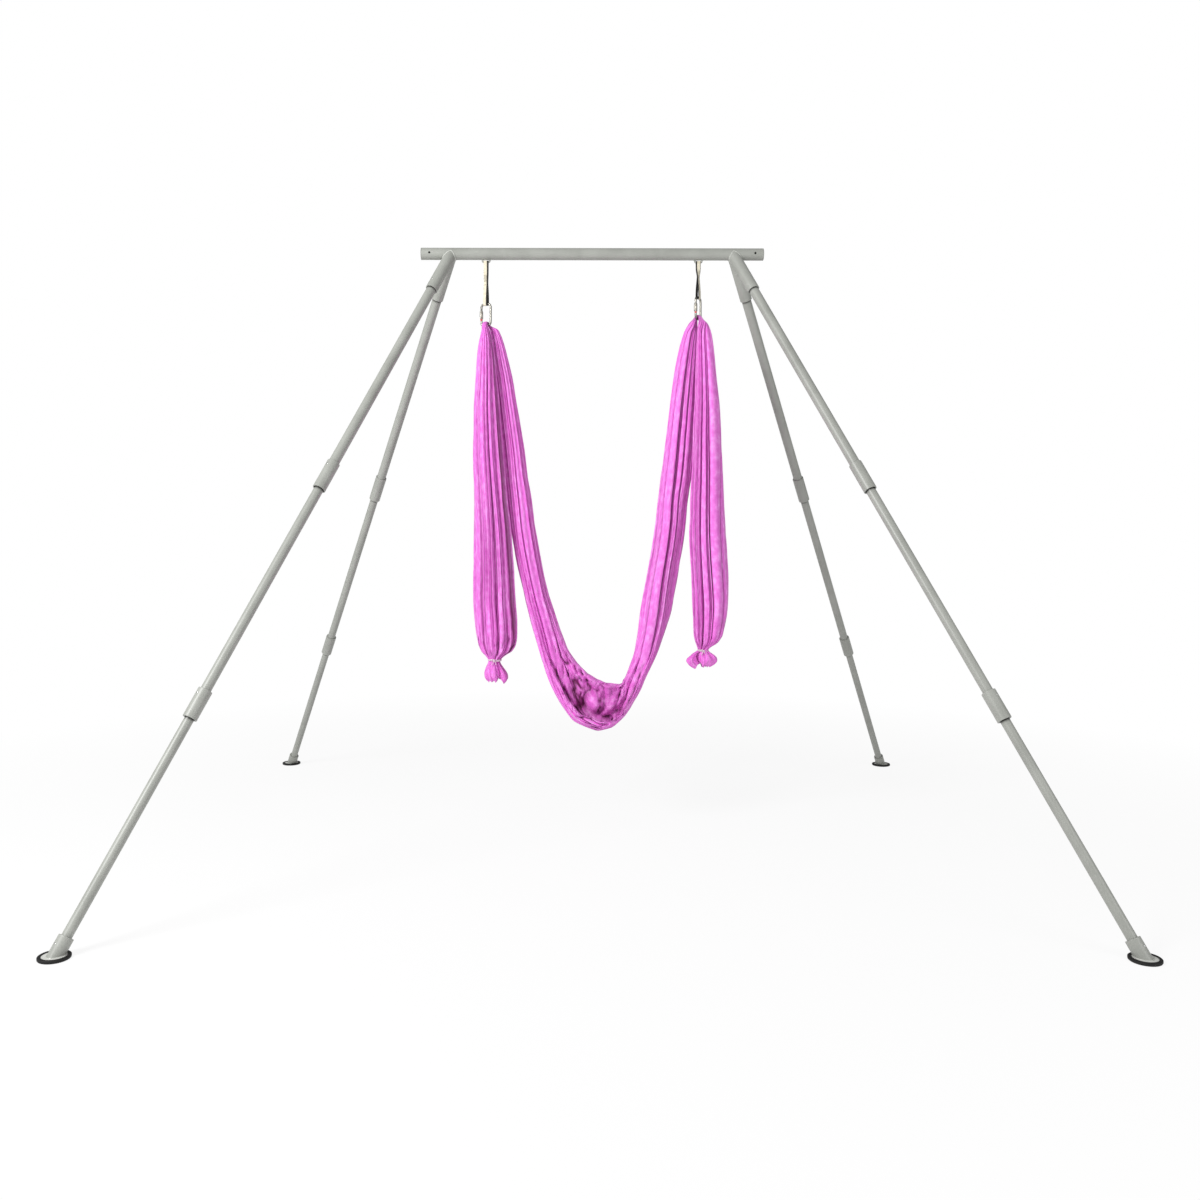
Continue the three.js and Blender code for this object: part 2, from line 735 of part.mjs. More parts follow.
// A tail's rows: [share of its length, width share, depth share].
const tailShares = [
  [0.0, 0.17, 0.14],
  [0.03, 0.3, 0.34],
  [0.08, 0.48, 0.55],
  [0.16, 0.64, 0.75],
  [0.3, 0.82, 0.9],
  [0.5, 0.93, 1],
  [0.7, 0.97, 1],
  [0.85, 1.03, 1],
  [0.905, 1.02, 1],
  [0.928, 0.75, 0.8],
  [0.937, 0.4, 0.52],
  [0.942, 0.3, 0.42],
  [0.946, 0.3, 0.42],
  [0.95, 0.3, 0.42],
  [0.955, 0.37, 0.48],
  [0.97, 0.52, 0.66],
  [0.988, 0.56, 0.7],
  [1.0, 0.46, 0.6],
];
const tieRowShare = 0.946;
const tieWidthShare = 0.3;
const tieDepthShare = 0.42;
const tailSetbackShare = 0.25;
const setbackRampShare = 0.1;

// How far a tail's middle drifts to +X, as a share of its width.
const leftDriftShares = [0, 0.02, 0.05, 0.08, 0.12, 0.16, 0.19, 0.25, 0.26, 0.25, 0.23, 0.23,
  0.23, 0.23, 0.23, 0.23, 0.23, 0.23];
const rightDriftShares = [0, 0.03, 0.09, 0.16, 0.18, 0.24, 0.32, 0.3, 0.29, 0.22, 0.15, 0.14,
  0.14, 0.14, 0.14, 0.14, 0.14, 0.14];

function tailSections(top, endHeight, width, driftShares) {
  const side = new THREE.Vector3(1, 0, 0);
  const along = new THREE.Vector3(0, 0, -1);
  return tailShares.map(([lengthShare, widthShare, depthShare], row) => {
    const x = top.x + width * driftShares[row];
    const setback = tailDepth * tailSetbackShare * Math.min(lengthShare / setbackRampShare, 1);
    const z = THREE.MathUtils.lerp(top.z, endHeight, lengthShare);
    return {
      centre: new THREE.Vector3(x, top.y - setback, z),
      side,
      along,
      halfSide: width * widthShare / 2,
      halfOut: tailDepth * depthShare / 2,
    };
  });
}

// The seat's rows, left to right: [share of half the eye spacing, share of the height
// above the seat, how far the section has opened from arm to pocket].
const seatShares = [
  [-0.93, 0.955, -0.62],
  [-0.888, 0.9, -0.35],
  [-0.809, 0.805, -0.15],
  [-0.738, 0.666, -0.1],
  [-0.624, 0.467, -0.05],
  [-0.525, 0.327, 0],
  [-0.444, 0.248, 0.05],
  [-0.371, 0.188, 0.12],
  [-0.262, 0.132, 0.38],
  [-0.121, 0.089, 0.75],
  [0.075, 0.066, 1],
  [0.244, 0.084, 0.8],
  [0.355, 0.116, 0.45],
  [0.443, 0.155, 0.25],
  [0.527, 0.208, 0.16],
  [0.609, 0.287, 0.14],
  [0.707, 0.447, 0.14],
  [0.785, 0.666, 0.05],
  [0.834, 0.805, -0.1],
  [0.9, 0.9, -0.35],
  [0.945, 0.955, -0.62],
];

function seatSections() {
  const side = new THREE.Vector3(0, 1, 0);
  const leftTop = saddleExit(-eyeX, leftCrownHeight, leftCarabinerYaw, 1);
  const rightTop = saddleExit(eyeX, rightCrownHeight, rightCarabinerYaw, 1);
  const bunch = { side, halfSide: saddleThickness / 2, halfOut: saddleWidth / 2 };
  const leftDrop = leftCrownHeight - bowDrop - seatHeight;
  const rightDrop = rightCrownHeight - bowDrop - seatHeight;
  const rows = seatShares.map(([spanShare, heightShare, openShare]) => {
    const drop = spanShare < 0 ? leftDrop : rightDrop;
    const open = Math.max(openShare, 0);
    const shrink = 1 + Math.min(openShare, 0);
    const setback = armDepth * tailSetbackShare * (1 - open);
    return {
      centre: new THREE.Vector3(eyeX * spanShare, setback, seatHeight + drop * heightShare),
      side,
      halfSide: THREE.MathUtils.lerp(armDepth, pocketDepth, open) * shrink / 2,
      halfOut: THREE.MathUtils.lerp(armWidth, pocketRise, open) * shrink / 2,
    };
  });
  return [{ ...bunch, centre: leftTop }, ...rows, { ...bunch, centre: rightTop }];
}

// The hollow of the seat, tipped towards the front, so the front lip is the low one.
function pocketHollow() {
  const hollow = new THREE.SphereGeometry(1, foldCount * foldFacets, foldCount * 2);
  hollow.rotateX(Math.PI / 2);
  const halfWidth = armWidth * hollowWidthShare;
  const halfHeight = pocketRise * hollowHeightShare;
  hollow.scale(halfWidth, pocketDepth * hollowDepthShare, halfHeight);
  hollow.rotateX(hollowTip);
  const setback = pocketDepth * hollowSetbackShare;
  const height = seatHeight + pocketRise * hollowRiseShare;
  return toSolid(hollow.translate(eyeX * hollowDriftShare, -setback, height));
}

// The room that a carabiner takes up in the silk.
function carabinerRoom(x, crownHeight, yaw) {
  return carabinerBody(rodRadius + saddleGap / 2)
    .rotate([0, 0, THREE.MathUtils.radToDeg(yaw)])
    .translate([x, 0, crownHeight]);
}

function silk() {
  const leftTop = saddleExit(-eyeX, leftCrownHeight, leftCarabinerYaw, -1);
  const rightTop = saddleExit(eyeX, rightCrownHeight, rightCarabinerYaw, -1);
  return loft(seatSections())
    .subtract(pocketHollow())
    .add(loft(tailSections(leftTop, leftTailEnd, leftTailWidth, leftDriftShares)))
    .add(loft(tailSections(rightTop, rightTailEnd, rightTailWidth, rightDriftShares)))
    .add(saddle(-eyeX, leftCrownHeight, leftCarabinerYaw))
    .add(saddle(eyeX, rightCrownHeight, rightCarabinerYaw))
    .subtract(carabinerRoom(-eyeX, leftCrownHeight, leftCarabinerYaw))
    .subtract(carabinerRoom(eyeX, rightCrownHeight, rightCarabinerYaw));
}

// A string tied round a tail's neck, close on its folds, with the knot at the front. It
// starts as a ring with a unit cord, which is reshaped point by point.
function tailTie(top, endHeight, width, drift) {
  const halfWidth = width * tieWidthShare / 2;
  const halfDepth = tailDepth * tieDepthShare / 2;
  const cordRadius = tieCord / 2;
  const ringRadius = 2;
  const ring = new THREE.TorusGeometry(ringRadius, 1, foldCount * 2, foldCount * foldFacets);
  const position = ring.attributes.position;
  for (let i = 0; i < position.count; i += 1) {
    const angle = Math.atan2(position.getY(i), position.getX(i));
    const outward = Math.hypot(position.getX(i), position.getY(i)) - ringRadius;
    const reach = foldAt(angle, halfWidth, halfDepth) + fitGap + cordRadius * (1 + outward);
    const x = Math.cos(angle) * (halfWidth + reach);
    const y = Math.sin(angle) * (halfDepth + reach);
    position.setXYZ(i, x, y, position.getZ(i) * cordRadius);
  }
  const front = halfDepth + foldAt(Math.PI / 2, halfWidth, halfDepth) + fitGap;
  const knot = new THREE.SphereGeometry(tieKnotRadius, rodFacets, foldCount);
  knot.translate(0, -front - cordRadius - tieKnotRadius, 0);
  const x = top.x + width * drift;
  const y = top.y - tailDepth * tailSetbackShare;
  const z = THREE.MathUtils.lerp(top.z, endHeight, tieRowShare);
  return toSolid(ring).add(toSolid(knot)).translate([x, y, z]);
}

// Assembly.

const rig = new THREE.Group();
rig.add(piece('top_beam', topBeam(), 'frame'));

// Adds what stands at one end of the beam: facing is -1 for the left and 1 for the right.
function addBeamEnd(prefix, facing) {
  const plug = piece(`${prefix}_beam_plug`, beamPlug(), 'plug');
  plug.position.set(facing * beamLength / 2, 0, beamAxisHeight);
  plug.rotation.y = facing * Math.PI / 2;
  const sockets = piece(`${prefix}_socket_pair`, socketPair(), 'frame');
  sockets.position.set(facing * legRootX, 0, beamAxisHeight);
  sockets.rotation.z = facing < 0 ? Math.PI : 0;
  rig.add(plug, sockets);
}

addBeamEnd('left', -1);
addBeamEnd('right', 1);

// Adds one leg, from its foot up to the beam's socket.
function addLeg(prefix, sideX, sideY) {
  const foot = new THREE.Group();
  foot.position.set(sideX * footSpanX / 2, sideY * footSpanY / 2, 0);
  foot.rotation.z = Math.atan2(sideY * Math.sin(legHeading), sideX * Math.cos(legHeading));
  foot.add(piece(`${prefix}_foot_cup`, footCup(), 'rubber'));
  foot.add(piece(`${prefix}_foot_socket`, footSocket(), 'frame'));

  const leg = new THREE.Group();
  leg.rotation.y = -legTilt;
  leg.add(piece(`${prefix}_leg_upper_tube`, upperTube(), 'frame'));
  leg.add(piece(`${prefix}_leg_middle_tube`, middleTube(), 'frame'));
  leg.add(piece(`${prefix}_leg_lower_tube`, lowerTube(), 'frame'));
  const upperCollar = collar(upperTubeRadius, upperCollarStation, upperCollarLength);
  const lowerCollar = collar(middleTubeRadius, lowerCollarStation, lowerCollarLength);
  leg.add(piece(`${prefix}_leg_upper_collar`, upperCollar, 'frame'));
  leg.add(piece(`${prefix}_leg_lower_collar`, lowerCollar, 'frame'));

  const buttons = [
    ['socket', heightOf(socketButtonStation), upperTubeRadius - upperTubeWall, socketDiameter],
    ['upper_collar', heightOf(upperButtonStation), middleTubeRadius - middleTubeWall, collarDiameter],
    ['lower_collar', heightOf(lowerButtonStation), lowerTubeRadius - lowerTubeWall, collarDiameter],
    ['foot', footButtonReach, lowerTubeRadius - lowerTubeWall, footSocketDiameter],
  ];
  for (const [place, height, bore, sleeve] of buttons) {
    leg.add(piece(`${prefix}_${place}_button`, snapButton(height, bore, sleeve / 2), 'button'));
  }
  foot.add(leg);
  rig.add(foot);
}

addLeg('front_left', -1, -1);
addLeg('front_right', 1, -1);
addLeg('back_left', -1, 1);
addLeg('back_right', 1, 1);

// Adds one hanging point: its webbing loop, its carabiner and the tie on its tail.
function addHanger(prefix, x, drop, yaw, tailEnd, tailWidth, driftShares) {
  const strapMesh = piece(`${prefix}_strap`, strap(drop, yaw), 'webbing');
  strapMesh.position.set(x, 0, eyeBarHeight);
  const carabiner = new THREE.Group();
  carabiner.position.set(x, 0, eyeBarHeight - drop);
  carabiner.rotation.z = yaw;
  carabiner.add(piece(`${prefix}_carabiner_body`, hingedBody(), 'carabiner'));
  carabiner.add(piece(`${prefix}_carabiner_gate`, gate(), 'carabiner'));
  carabiner.add(piece(`${prefix}_carabiner_sleeve`, lockSleeve(), 'sleeve'));
  const top = saddleExit(x, eyeBarHeight - drop, yaw, -1);
  const tieRow = tailShares.findIndex(([lengthShare]) => lengthShare === tieRowShare);
  const tie = tailTie(top, tailEnd, tailWidth, driftShares[tieRow]);
  rig.add(strapMesh, carabiner, piece(`${prefix}_tail_tie`, tie, 'string'));
}

addHanger('left', -eyeX, leftStrapDrop, leftCarabinerYaw, leftTailEnd, leftTailWidth,
  leftDriftShares);
addHanger('right', eyeX, rightStrapDrop, rightCarabinerYaw, rightTailEnd, rightTailWidth,
  rightDriftShares);
rig.add(piece('hammock_silk', silk(), 'silk'));

export default rig;
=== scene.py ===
"""An aerial rig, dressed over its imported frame.

A round beam stands on four splayed legs of three tubes each. A silk hammock hangs from
the beam by two webbing loops and two screw carabiners, with its ends tied as tails.
Metres, +Z up, the front towards -Y. Shapes are numpy surfaces, finishes are node-based.
"""

import logging
import math
from dataclasses import dataclass, field, replace
from enum import Enum

import bmesh
import bpy
import numpy as np
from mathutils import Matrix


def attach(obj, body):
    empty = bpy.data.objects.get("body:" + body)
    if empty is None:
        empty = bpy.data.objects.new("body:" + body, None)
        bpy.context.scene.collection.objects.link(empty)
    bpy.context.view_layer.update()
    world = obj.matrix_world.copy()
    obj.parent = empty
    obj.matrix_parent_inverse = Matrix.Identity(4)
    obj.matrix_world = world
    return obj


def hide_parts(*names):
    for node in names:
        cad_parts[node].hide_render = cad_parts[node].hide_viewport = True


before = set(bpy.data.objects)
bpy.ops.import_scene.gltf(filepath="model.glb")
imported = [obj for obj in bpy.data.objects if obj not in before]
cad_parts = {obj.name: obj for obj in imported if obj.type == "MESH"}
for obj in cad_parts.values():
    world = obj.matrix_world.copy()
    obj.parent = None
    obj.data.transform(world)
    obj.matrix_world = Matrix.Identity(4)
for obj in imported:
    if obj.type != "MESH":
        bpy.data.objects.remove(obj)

Array = np.ndarray
Socket = bpy.types.NodeSocket
log = logging.getLogger("aerial_rig")

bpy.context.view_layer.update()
CREASE = 40.0
CORNER_POINTS = 6
TOOL_REACH = 0.004


class Side(Enum):
    """The two ends of the beam, with the sign of their X."""

    LEFT = -1
    RIGHT = 1

    @property
    def word(self) -> str:
        """The side's name as the nodes spell it."""
        return self.name.lower()


class Row(Enum):
    """The front and back pairs of legs, with the sign of their Y."""

    FRONT = -1
    BACK = 1

    @property
    def word(self) -> str:
        """The row's name as the nodes spell it."""
        return self.name.lower()


def unit(vectors: Array) -> Array:
    """Scale vectors to length one.

    Args:
        vectors: An array whose last axis holds x, y and z.

    Returns:
        The same directions, each of length one.
    """
    return vectors / np.maximum(np.linalg.norm(vectors, axis=-1, keepdims=True), 1e-12)


def joined(*axes: Array | float) -> Array:
    """Join coordinates into points, as one more axis; a single number serves them all."""
    return np.stack(np.broadcast_arrays(*axes), axis=-1)


def circle(count: int) -> Array:
    """Angles round a circle in equal steps, from 0."""
    return np.linspace(0.0, 2.0 * np.pi, count, endpoint=False)


def eased(value: Array | float, low: float, high: float) -> Array | float:
    """Rise smoothly from 0 at low to 1 at high, as 3t^2 - 2t^3.

    Args:
        value: Where to read the curve.
        low: The value at which it leaves 0.
        high: The value at which it reaches 1.

    Returns:
        The curve's height at each value.
    """
    t = np.clip((value - low) / (high - low), 0.0, 1.0)
    return t * t * (3.0 - 2.0 * t)


def cloudy(u: Array, v: Array, seed: int) -> Array:
    """Smooth noise from -1 to 1: random values on a unit net, eased between its knots.

    Args:
        u: The first coordinate of each place.
        v: The second coordinate, of a shape that goes with the first.
        seed: Which noise it is.

    Returns:
        One value for each place.
    """
    u, v = np.broadcast_arrays(u - np.min(u), v - np.min(v))
    i, j = u.astype(int), v.astype(int)
    net = np.random.default_rng(seed).uniform(-1.0, 1.0, (int(i.max()) + 2, int(j.max()) + 2))
    s, t = eased(u - i, 0.0, 1.0), eased(v - j, 0.0, 1.0)
    low = net[i, j] * (1 - t) + net[i, j + 1] * t
    high = net[i + 1, j] * (1 - t) + net[i + 1, j + 1] * t
    return low * (1 - s) + high * s


def creased(u: Array, v: Array, seed: int) -> Array:
    """Noise with sharp ridges, from -1 to 1: twice the distance of smooth noise from 0,
    turned over, so that its zero lines stand up as creases."""
    return 1.0 - 4.0 * np.minimum(np.abs(cloudy(u, v, seed)), 0.5)


@dataclass
class Surface:
    """A grid of points that becomes one mesh, open or closed in either direction."""

    points: Array
    wrap_rows: bool = False
    wrap_cols: bool = False
    flip: bool = False
    uv: Array | None = None
    # painted shade at each point, from 0 to 1, by which the finishes darken the colour
    fold: Array | None = None

    def arrays(self) -> tuple[Array, Array, Array]:
        """Number the grid's corners: each face joins row i and i+1, column j and j+1.

        Returns:
            The vertices, the four corners of each face, and the corners' UV places.
        """
        rows, cols = self.points.shape[:2]
        faces_down = rows if self.wrap_rows else rows - 1
        faces_across = cols if self.wrap_cols else cols - 1
        i, j = np.meshgrid(np.arange(faces_down), np.arange(faces_across), indexing="ij")
        i, j = i.ravel(), j.ravel()
        corner_rows = joined(i, i, i + 1, i + 1)
        corner_cols = joined(j, j + 1, j + 1, j)
        if self.flip:
            corner_rows, corner_cols = corner_rows[:, ::-1], corner_cols[:, ::-1]
        faces = (corner_rows % rows) * cols + corner_cols % cols
        if self.uv is None:
            uv = joined(corner_cols / faces_across, corner_rows / faces_down)
        else:
            uv = self.uv[corner_rows, corner_cols]
        return self.points.reshape(-1, 3), faces, uv


def to_object(name: str, surfaces: list[Surface], crease: float = CREASE) -> bpy.types.Object:
    """Make one object of several surfaces, with poles closed and soft shading.

    Args:
        name: The object's name.
        surfaces: The grids that it is made of.
        crease: The angle in degrees above which an edge stays sharp.

    Returns:
        The object, at the origin, linked to the scene.
    """
    verts, faces, uvs, start = [], [], [], 0
    for surface in surfaces:
        points, corners, uv = surface.arrays()
        verts.append(points)
        faces.append(corners + start)
        uvs.append(uv.reshape(-1, 2))
        start += len(points)
    all_verts = np.concatenate(verts)
    all_faces = np.concatenate(faces)
    mesh = bpy.data.meshes.new(name)
    mesh.vertices.add(len(all_verts))
    mesh.vertices.foreach_set("co", all_verts.astype(np.float32).ravel())
    mesh.loops.add(all_faces.size)
    mesh.loops.foreach_set("vertex_index", all_faces.astype(np.int32).ravel())
    mesh.polygons.add(len(all_faces))
    mesh.polygons.foreach_set("loop_start", np.arange(0, all_faces.size, 4, dtype=np.int32))
    layer = mesh.uv_layers.new(name="Cloth")
    layer.data.foreach_set("uv", np.concatenate(uvs).astype(np.float32).ravel())
    # the painted shade goes on the mesh as a value at each point
    if surfaces[0].fold is not None:
        depth = mesh.attributes.new("Fold", "FLOAT", "POINT")
        depth.data.foreach_set("value", surfaces[0].fold.astype(np.float32).ravel())
    mesh.update(calc_edges=True)
    close_poles(mesh)
    soften(mesh, crease)
    made = bpy.data.objects.new(name, mesh)
    bpy.context.scene.collection.objects.link(made)
    return made


def close_poles(mesh: bpy.types.Mesh) -> None:
    """Merge the points that lie on each other, such as those of a pole.

    Args:
        mesh: The mesh to mend.
    """
    bench = bmesh.new()
    bench.from_mesh(mesh)
    bmesh.ops.remove_doubles(bench, verts=bench.verts, dist=2e-6)
    bench.to_mesh(mesh)
    bench.free()


def soften(mesh: bpy.types.Mesh, crease: float = CREASE) -> None:
    """Shade a mesh smooth, with its hard edges kept.

    Args:
        mesh: The mesh.
        crease: The angle in degrees above which an edge stays sharp.
    """
    mesh.shade_smooth()
    mesh.set_sharp_from_angle(angle=math.radians(crease))


def bored(piece: bpy.types.Object, *cutters: bpy.types.Object) -> None:
    """Cut closed tools out of a closed piece, and drop the tools.

    Args:
        piece: What is cut.
        cutters: The tools.
    """
    for cutter in cutters:
        cut = piece.modifiers.new("bore", "BOOLEAN")
        cut.operation = "DIFFERENCE"
        cut.solver = "EXACT"
        cut.object = cutter
    graph = bpy.context.evaluated_depsgraph_get()
    graph.update()
    mesh = bpy.data.meshes.new_from_object(piece.evaluated_get(graph))
    piece.modifiers.clear()
    plain, piece.data = piece.data, mesh
    mesh.name = piece.name
    bpy.data.meshes.remove(plain)
    for cutter in cutters:
        tool = cutter.data
        bpy.data.objects.remove(cutter)
        bpy.data.meshes.remove(tool)
    soften(mesh)


def rounded(profile: list[tuple[float, float]], radius: float, closed: bool = True) -> Array:
    """Round the corners of a profile: each is a quadratic curve between two points that
    lie the radius from it, with one more point on each side to hold the flats flat.

    Args:
        profile: The corners, as distance out and height.
        radius: How far from each corner the curve starts.
        closed: Whether the last corner joins the first.

    Returns:
        The rounded profile's points.
    """
    corner = np.array(profile, float)
    before, after = np.roll(corner, 1, axis=0), np.roll(corner, -1, axis=0)
    back, on = before - corner, after - corner
    back_length = np.linalg.norm(back, axis=1, keepdims=True)
    on_length = np.linalg.norm(on, axis=1, keepdims=True)
    reach = np.minimum(radius, 0.3 * np.minimum(back_length, on_length))
    start, end = corner + back / back_length * reach, corner + on / on_length * reach
    t = np.array([0.0, 0.33, 0.67, 1.0])[None, :, None]
    curve = start[:, None] * (1 - t) ** 2 + 2 * corner[:, None] * t * (1 - t) + end[:, None] * t**2
    lead = (corner + back / back_length * reach * 1.7)[:, None]
    tail = (corner + on / on_length * reach * 1.7)[:, None]
    full = np.concatenate([lead, curve, tail], axis=1)
    if closed:
        return full.reshape(-1, 2)
    inner = full[1:-1].reshape(-1, 2)
    return np.concatenate([corner[:1], inner, corner[-1:]])


@dataclass(frozen=True)
class Frame:
    """A place with three directions: out, across and up."""

    origin: Array
    out: Array
    across: Array
    up: Array

    def place(self, local: Array) -> Array:
        """Turn local x, y and z into the rig's own."""
        return self.origin + local @ np.stack([self.out, self.across, self.up])

    def sideways(self, height: float) -> "Frame":
        """The frame at a height up this one that points out where this one points up."""
        return Frame(self.origin + self.up * height, self.up, self.across, self.out)

    def spokes(self, sides: int) -> Array:
        """Unit directions round the up direction: cos a out + sin a across at each angle a."""
        angle = circle(sides)[:, None]
        return np.cos(angle) * self.out + np.sin(angle) * self.across

    def turned(self, profile: Array, sides: int = 48, closed: bool = True) -> Surface:
        """Turn a profile about the up direction: at each angle a, the point at distance r
        and height h goes to (r cos a, r sin a, h).

        Args:
            profile: Distances and heights, run so that the outside faces outwards.
            sides: How many faces go round.
            closed: Whether the profile closes on itself.

        Returns:
            The surface.
        """
        angle = circle(sides)
        r, h = profile[:, 0:1], profile[:, 1:2]
        grid = joined(r * np.cos(angle), r * np.sin(angle), h)
        return Surface(self.place(grid), wrap_rows=closed, wrap_cols=True)


UPRIGHT = Frame(np.zeros(3), np.array([1.0, 0, 0]), np.array([0, 1.0, 0]), np.array([0, 0, 1.0]))


def bar_tool(name: str, axis: Frame, radius: float, low: float, high: float) -> bpy.types.Object:
    """A closed round bar on a frame's up direction, with flat ends, to bore with."""
    profile = np.array([(0.0, low), (radius, low), (radius, high), (0.0, high)])
    return to_object(name, [axis.turned(profile, 32, closed=False)])


def lip_rows(radius: float, bore: float, lip: float, soft: float, sides: int) -> list[tuple]:
    """A sleeve's open end: out to the lip, over its two soft edges and back into the bore.

    Args:
        radius: The sleeve's outer radius.
        bore: Its inner radius.
        lip: How far along the sleeve it ends.
        soft: The size of the soft edges.
        sides: How many points go round.

    Returns:
        Rows of a radius and the distance along the sleeve at each angle.
    """
    rows = [(radius, lip - 2 * soft), (radius, lip - soft), (radius - 0.3 * soft, lip - 0.3 * soft),
            (radius - soft, lip), (bore + soft, lip), (bore + 0.3 * soft, lip - 0.3 * soft),
            (bore, lip - soft), (bore, lip - 2 * soft)]
    return [(r, at * np.ones(sides)) for r, at in rows]


def swept(path: Array, radius: Array | float, sides: int, closed: bool = False,
          upright: Array = UPRIGHT.across) -> Surface:
    """Carry a circle along a path: the point at angle a stands off the path by the radius
    times (cos a side + sin a over), where side and over are square to the path.

    Args:
        path: The centre line's points.
        radius: The circle's radius, one value or one for each point.
        sides: How many faces go round.
        closed: Whether the path closes on itself.
        upright: The direction that over keeps near to.

    Returns:
        The surface, with pointed ends closed where the radius goes to nothing.
    """
    if closed:
        along = unit(np.roll(path, -1, axis=0) - np.roll(path, 1, axis=0))
    else:
        along = unit(np.gradient(path, axis=0))
    side = unit(np.cross(along, upright + 0 * along))
    over = np.cross(side, along)
    angle = circle(sides)
    r = np.broadcast_to(np.asarray(radius, float), (len(path),))[:, None, None]
    c, s = np.cos(angle)[None, :, None], np.sin(angle)[None, :, None]
    ring = c * side[:, None] + s * over[:, None]
    return Surface(path[:, None] + r * ring, wrap_rows=closed, wrap_cols=True, flip=True)


def evenly(line: Array, count: int) -> tuple[Array, Array]:
    """Read a line at even steps along its length, its last point left out.

    Args:
        line: The line's points.
        count: How many points it gets.

    Returns:
        How far along the line each new point is, and the points.
    """
    reach = lengths(line)
    at = np.linspace(0.0, reach[-1], count, endpoint=False)
    return at, np.stack([np.interp(at, reach, column) for column in line.T], axis=1)


def lengths(line: Array) -> Array:
    """How far along a line each of its points is."""
    return np.concatenate([[0.0], np.cumsum(np.linalg.norm(np.diff(line, axis=0), axis=1))])


def capped(path: Array, radius: float, steps: int = 5) -> tuple[Array, Array]:
    """Round off both ends of a rod: the radius follows a quarter circle to nothing.

    Args:
        path: The centre line.
        radius: The rod's radius.
        steps: How many rings each end gets.

    Returns:
        The longer centre line and the radius at each of its points.
    """
    first, last = unit(path[0] - path[1]), unit(path[-1] - path[-2])
    angle = np.linspace(np.pi / 2, 0.0, steps, endpoint=False)[:, None]
    head = path[0] + first * radius * np.sin(angle)
    foot = (path[-1] + last * radius * np.sin(angle))[::-1]
    rim = radius * np.cos(angle)[:, 0]
    line = np.concatenate([head, path, foot])
    return line, np.concatenate([rim, np.full(len(path), radius), rim[::-1]])


def linear(red: int, green: int, blue: int) -> tuple[float, float, float, float]:
    """Turn an eight-bit colour into the shader's own scale, as the sRGB curve says.

    Args:
        red: Red from 0 to 255.
        green: Green from 0 to 255.
        blue: Blue from 0 to 255.

    Returns:
        The colour with full opacity.
    """
    share = np.array([red, green, blue]) / 255.0
    value = np.where(share <= 0.04045, share / 12.92, ((share + 0.055) / 1.055) ** 2.4)
    return (float(value[0]), float(value[1]), float(value[2]), 1.0)


